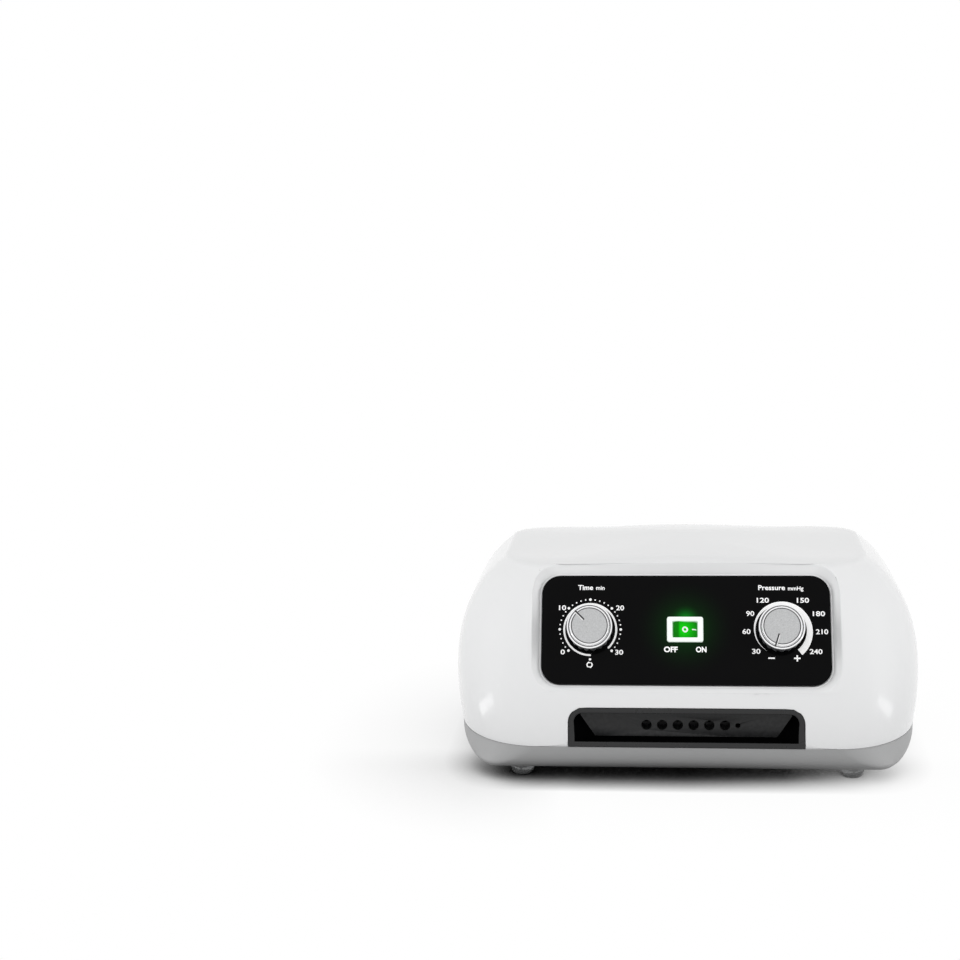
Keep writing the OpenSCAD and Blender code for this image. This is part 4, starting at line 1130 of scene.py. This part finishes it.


# %% [markdown]
# The finishes go by the record's slots: one for each kind of plastic, metal and rubber. The last
# ones are for the parts of a piece that look different from the rest of it, and for the print.

# %% Make the finishes
# Each row: colour, roughness, and whatever differs from a plain plastic.
# Painted shade and a painted highlight for the walls of the knobs' pointer grooves.
KNOB_PAINTED_LIGHT = (("shaded", (0.06, 0.06, 0.062)), ("bright", (0.97, 0.97, 0.97)))
FINISHES = {
    "white_housing": ((0.86, 0.865, 0.87), 0.2, dict(
        tone=0.006, tone_size=9, rough_swing=0.03, grain=0.004, grain_size=350, coat=0.5,
        coat_rough=0.06)),
    "grey_base": ((0.398, 0.4, 0.402), 0.42, dict(
        tone=0.03, tone_size=30, grain=0.012, grain_size=2200, specular=0.35)),
    "black_gloss": ((0.002, 0.002, 0.0022), 0.12, dict(
        tone=0.15, tone_size=25, rough_swing=0.03, specular=0.05)),
    "white_switch": ((0.93, 0.935, 0.935), 0.28, dict(
        tone=0.01, grain=0.003, grain_size=900, wear=0.2, wear_colour=(0.9, 0.9, 0.9))),
    "brass": ((0.72, 0.52, 0.22), 0.3, dict(
        metal=1.0, tone=0.08, tone_size=150, wear=0.4, wear_colour=(0.9, 0.75, 0.4))),
    "steel": ((0.58, 0.59, 0.60), 0.34, dict(
        metal=1.0, tone=0.06, tone_size=120, rough_swing=0.1, grain=0.004)),
    "knob_skirt": ((0.10, 0.103, 0.108), 0.38, dict(
        tone=0.06, tone_size=200, grain=0.01, wear=0.6, wear_colour=(0.3, 0.3, 0.31))),
    "knob_face": ((0.525, 0.53, 0.535), 0.36, dict(
        metal=0.85, tone=0.5, tone_size=1500, rough_swing=0.1, grain=0.03, grain_size=1600,
        marks=KNOB_PAINTED_LIGHT)),
    "cream_plastic": ((0.74, 0.71, 0.62), 0.45, dict(grain=0.01)),
    "dark_plastic": ((0.07, 0.073, 0.077), 0.45, dict(
        grain=0.01, wear=0.3, wear_colour=(0.2, 0.2, 0.2))),
    "black_satin": ((0.011, 0.0112, 0.0118), 0.34, dict(
        tone=0.1, grain=0.006, wear=0.25, wear_colour=(0.05, 0.05, 0.052), specular=0.35)),
    "iron": ((0.27, 0.27, 0.28), 0.5, dict(metal=0.8, tone=0.15, tone_size=150, grain=0.03)),
    "copper": ((0.55, 0.2, 0.07), 0.3, dict(metal=0.6, tone=0.15, tone_size=300, grain=0.02)),
    "rubber": ((0.024, 0.024, 0.025), 0.7, dict(tone=0.15, grain=0.02)),
    "foot_rubber": ((0.36, 0.365, 0.37), 0.12, dict(
        tone=0.06, tone_size=120, grain=0.004, coat=1.0, clear=0.6)),
    "clear_hose": ((0.66, 0.69, 0.71), 0.25, dict(tone=0.03, sss=0.2, grain=0.002)),
    "board_green": ((0.025, 0.19, 0.08), 0.35, dict(
        tone=0.12, tone_size=200, grain=0.01, coat=0.3, coat_rough=0.15)),
    "tray_lip": ((0.015, 0.015, 0.0155), 0.3, dict(tone=0.08, grain=0.006, specular=0.38)),
    # The tray's inside: its lip's black plastic, darker and without sheen, a painted shade.
    "tray_inside": ((0.0012, 0.0012, 0.0013), 0.5, dict(tone=0.1, grain=0.006, specular=0.0)),
    "knob_rim": ((0.93, 0.93, 0.94), 0.16, dict(
        metal=1.0, tone=0.05, tone_size=900, marks=KNOB_PAINTED_LIGHT)),
    # The knobs' grooves: a darker copy of the face's metal, a painted shade.
    "knob_groove": ((0.10, 0.10, 0.105), 0.4, dict(
        metal=0.6, tone=0.1, tone_size=900, marks=KNOB_PAINTED_LIGHT)),
    "marks_white": ((0.97, 0.98, 0.97), 0.4, dict(tone=0.02, tone_size=400)),
    "print_white": ((0.98, 0.98, 0.98), 0.5, dict(tone=0.02, tone_size=500, grain=0.003)),
    "green_rocker": ((0.001, 0.10, 0.001), 0.3, dict(
        tone=0.05, tone_size=200, specular=0.08, grain=0.002))}
made, wired = {}, {}
for name, (colour, rough, more) in FINISHES.items():
    made[name], *wired[name] = finish(name, colour, rough, **more)

# %% [markdown]
# The rocker is clear green plastic lit from behind by its own lamp, and it glows. How the glow is
# spread is partly painted: its right half, over the lamp, glows and fades towards its end, with a
# painted highlight near the crest, and the left half, which leans away, stays dark, a painted
# shade. Some of that light also spills over the top edge of the bezel onto the black panel, as a
# soft halo of painted light. The bezel and the print glow a little too, painted light that makes
# them brighter than the light on them explains.

# %% Light the rocker and the halo


def painted_glow_falloff(n, x, y, level, reach, power):
    """Mask of painted light that is 1 at a place of the panel and falls to 0 at reach, both in
    millimetres, by a power of what is left of the way: the spread of the rocker's glow and of the
    halo painted on the panel."""
    centre = tuple(PANEL.place(np.array([x, y]), level)*MM)
    near = n.ramp(n.distance("SUBTRACT", centre), 0.0, reach*MM, 1.0, 0.0)
    return n.math("POWER", near, power)


n, surface = wired["green_rocker"]
apart = n.make("ShaderNodeSeparateXYZ", i0=n.place())
# The lamp's glow, with a painted shade on the left half and a painted highlight near the crest.
painted_rocker_glow = n.math("MULTIPLY", n.ramp(apart.outputs["X"], -0.0040, -0.0030, 0.16, 1.0),
             painted_glow_falloff(n, -1.2, 0.0, 0.5, 11.0, 1.6))
n.feed(surface, Emission_Strength=1.0,
       Emission_Color=n.mix(painted_rocker_glow, (0.0, 0.07, 0.0, 1), (0.0, 0.70, 0.0, 1)))

# Painted light: a faint glow of their own, greenish on the bezel, makes both brighter than lamps do.
for name, glow in (("white_switch", (0.13, 0.19, 0.14, 1)), ("print_white", (0.16, 0.16, 0.16, 1))):
    n, surface = wired[name]
    n.feed(surface, Emission_Color=glow, Emission_Strength=1.0)

# Painted light: a soft green halo in the panel's emission, with a brighter core above the switch.
n, surface = wired["black_gloss"]
wide = n.math("MULTIPLY", painted_glow_falloff(n, 0.0, 1.0, 0.0, 32.0, 2.6), 0.045)
halo = n.math("MULTIPLY_ADD", painted_glow_falloff(n, 0.4, 6.0, 0.0, 9.5, 2.4), 0.28, wide)
n.feed(surface, Emission_Strength=1.0,
       Emission_Color=n.mix(halo, (0, 0, 0, 1), (0.0, 1.0, 0.05, 1)))

# %% [markdown]
# ## Dressing the pieces
# The record says which slot each CAD part belongs to. A piece takes the finish of the slot of the
# part that it stands for. The knob faces and the tray have further finishes on some of their faces.
# The darker finishes of the knobs' grooves and of the tray's inside are a painted shade.

# %% Dress every piece
SLOTS = {s["node"]: s["material_slot"] for s in frame["record"]["subparts"]}
LIP_DEPTH = 1.4                  # how far behind its front the tray still has the lip's finish


def dress(obj, slot):
    """Gives a piece its slot's finish, unless it has several finishes."""
    if len(obj.data.materials) < 2:
        obj.data.materials.clear()
        obj.data.materials.append(made[slot])


for name, obj in frame["nodes"].items():
    for k in range(len(obj.data.materials)):
        obj.data.materials[k] = made[SLOTS[name]]
for piece, _, nodes in TIES:
    if nodes:
        dress(piece, SLOTS[nodes[0]])
for node, obj in soft.items():
    dress(obj, SLOTS[node])
dress(base_bosses, "grey_base")
for face in (time_face, pressure_face):
    for k, look in enumerate(("knob_face", "knob_rim", "knob_groove")):
        face.data.materials[k] = made[look]
hose_tray.data.materials.clear()
hose_tray.data.materials.append(made["tray_inside"])
hose_tray.data.materials.append(made["tray_lip"])
on_lip = LIP.read(places(hose_tray.data.polygons, "center"))[:, 2] > -LIP_DEPTH
hose_tray.data.polygons.foreach_set("material_index", on_lip.astype(np.int32))
for piece, look, place in ((rocker_marks, "marks_white", "white_switch"),
                           (panel_print, "print_white", "white_switch")):
    dress(piece, look)           # its own finish
print("finishes:", len(made))

# %% [markdown]
# ## Table, light and camera
# The pump stands on a white table that runs out into a white room. To the camera, and in mirror
# images, both are plain white. The table's shadow is a painted shadow in its white glow, darker
# only where the pump keeps a spot from being open: a short dark one under the base, made deepest
# in the middle and at the front by masks of place, and a wide faint one at the left. As a source
# of light the table is dark near the pump and paler farther out.

# %% Table
TABLE_HALF = 6
PUMP_PLAN = (0.15, 0.11)         # half axes, in metres, of the oval where the bounced light starts
table_material = bpy.data.materials.new("table")
table_material.use_nodes = True
n = Nodes(table_material.node_tree)
apart = n.make("ShaderNodeSeparateXYZ", i0=n.place())
x, y = apart.outputs["X"], apart.outputs["Y"]
# Painted shadow: masks of place set how far the occlusion darkens the table's white glow.
ahead = n.ramp(y, -0.075, -0.03, 1.0, 0.35, "SMOOTHSTEP")
depth = n.math("MINIMUM", n.ramp(x, -0.115, -0.06, 0.8, 1.9), n.ramp(x, 0.0, 0.105, 1.9, 0.42))
depth = n.math("MULTIPLY", depth, ahead)
black = n.ramp(depth, 0.6, 1.1, 0.0, 0.19)
close = n.math("POWER", n.ramp(n.openness(0.02, (0.1, 0.0, 0.995)), black, 1.0), depth)
leftward = n.math("MULTIPLY", n.ramp(x, -0.125, -0.07, 0.75, 0.05), ahead)
wide = n.math("POWER", n.openness(0.1, (0.6, 0.0, 0.8)), leftward)
glow = n.make("ShaderNodeEmission", Color=(1, 1, 1, 1), Strength=n.math("MULTIPLY", close, wide))
out_from = n.distance("MULTIPLY", (1/PUMP_PLAN[0], 1/PUMP_PLAN[1], 0))
paint = n.make("ShaderNodeBsdfDiffuse", Color=n.ramp(out_from, 0.85, 1.35, 0.02, 0.55))
mixed = n.make("ShaderNodeMixShader", i0=n.seen(), i1=paint.outputs[0], i2=glow.outputs[0])
n.make("ShaderNodeOutputMaterial", Surface=mixed.outputs[0])
table_top = bpy.data.meshes.new("table_top")
corners = [(x*TABLE_HALF, y*TABLE_HALF, 0) for x, y in ((-1, -1), (1, -1), (1, 1), (-1, 1))]
table_top.from_pydata(corners, [], [(0, 1, 2, 3)])
table_top.materials.append(table_material)
table = put("table", table_top)

# %% [markdown]
# The room gives a soft light from everywhere. One lamp in front and one at each side shape the
# pump, and two narrow ones are there only to be mirrored low in the housing's front corners.

# %% World and lamps
world = bpy.data.worlds.new("room")
bpy.context.scene.world = world
world.use_nodes = True
n = Nodes(world.node_tree)
strength = n.ramp(n.seen(), 0.0, 1.0, 0.44, 1.0)
room = n.make("ShaderNodeBackground", Color=(1, 1, 1, 1), Strength=strength)
n.make("ShaderNodeOutputWorld", Surface=room.outputs[0])


def lamp(name, place, aim, width, height, power, turn=0):
    """Rectangular lamp that looks from its place to its aim, in metres, turned about that line in
    degrees. The camera doesn't see it, nor do mirror images."""
    light = bpy.data.lights.new(name, "AREA")
    light.shape, light.size, light.size_y, light.energy = "RECTANGLE", width, height, power
    obj = put(name, light)
    look = (Vector(aim) - Vector(place)).to_track_quat("-Z", "Y").to_matrix().to_4x4()
    spin = Matrix.Rotation(math.radians(turn), 4, "Z")
    obj.matrix_world = Matrix.Translation(place) @ look @ spin
    obj.visible_camera = obj.visible_glossy = False
    return obj


lamp("front", (0, -1.1, 1.15), (0, 0, 0.05), 1.8, 0.9, 7.4)
for name, side in (("left", -1.3), ("right", 1.3)):
    lamp(name, (side, -0.5, 0.45), (0, 0, 0.06), 0.9, 0.9, 6.4)
for side, y, z in ((-1, -0.095, 0.026), (1, -0.119, 0.036)):
    glint = lamp("glint", (side*0.25, y, z), (0, y, z), 0.09, 0.02, 0.0115, -side*30)
    glint.visible_glossy, glint.visible_diffuse = True, False

# %% [markdown]
# The camera was solved from the photograph: its place in metres, and in radians how far it looks
# to the side and down and how far it is rolled.

# %% Camera
EYE_PLACE, AZIMUTH, DROP, ROLL = (-0.005734, -1.081105, 0.356679), -0.11035, 0.17679, -0.02529
eye_data = bpy.data.cameras.new("eye")
eye_data.lens, eye_data.sensor_width = 66.81, 36
eye = put("eye", eye_data)
forward = np.array([math.sin(AZIMUTH)*math.cos(DROP), math.cos(AZIMUTH)*math.cos(DROP),
                    -math.sin(DROP)])
level = np.cross(forward, [0, 0, 1])
level /= np.linalg.norm(level)
above = np.cross(level, forward)
right = math.cos(ROLL)*level + math.sin(ROLL)*above
up = math.cos(ROLL)*above - math.sin(ROLL)*level
turned = Matrix(np.stack([right, up, -forward], 1).tolist()).to_4x4()
eye.matrix_world = Matrix.Translation(EYE_PLACE) @ turned
bpy.context.scene.camera = eye
bpy.context.scene.view_settings.view_transform = "Standard"
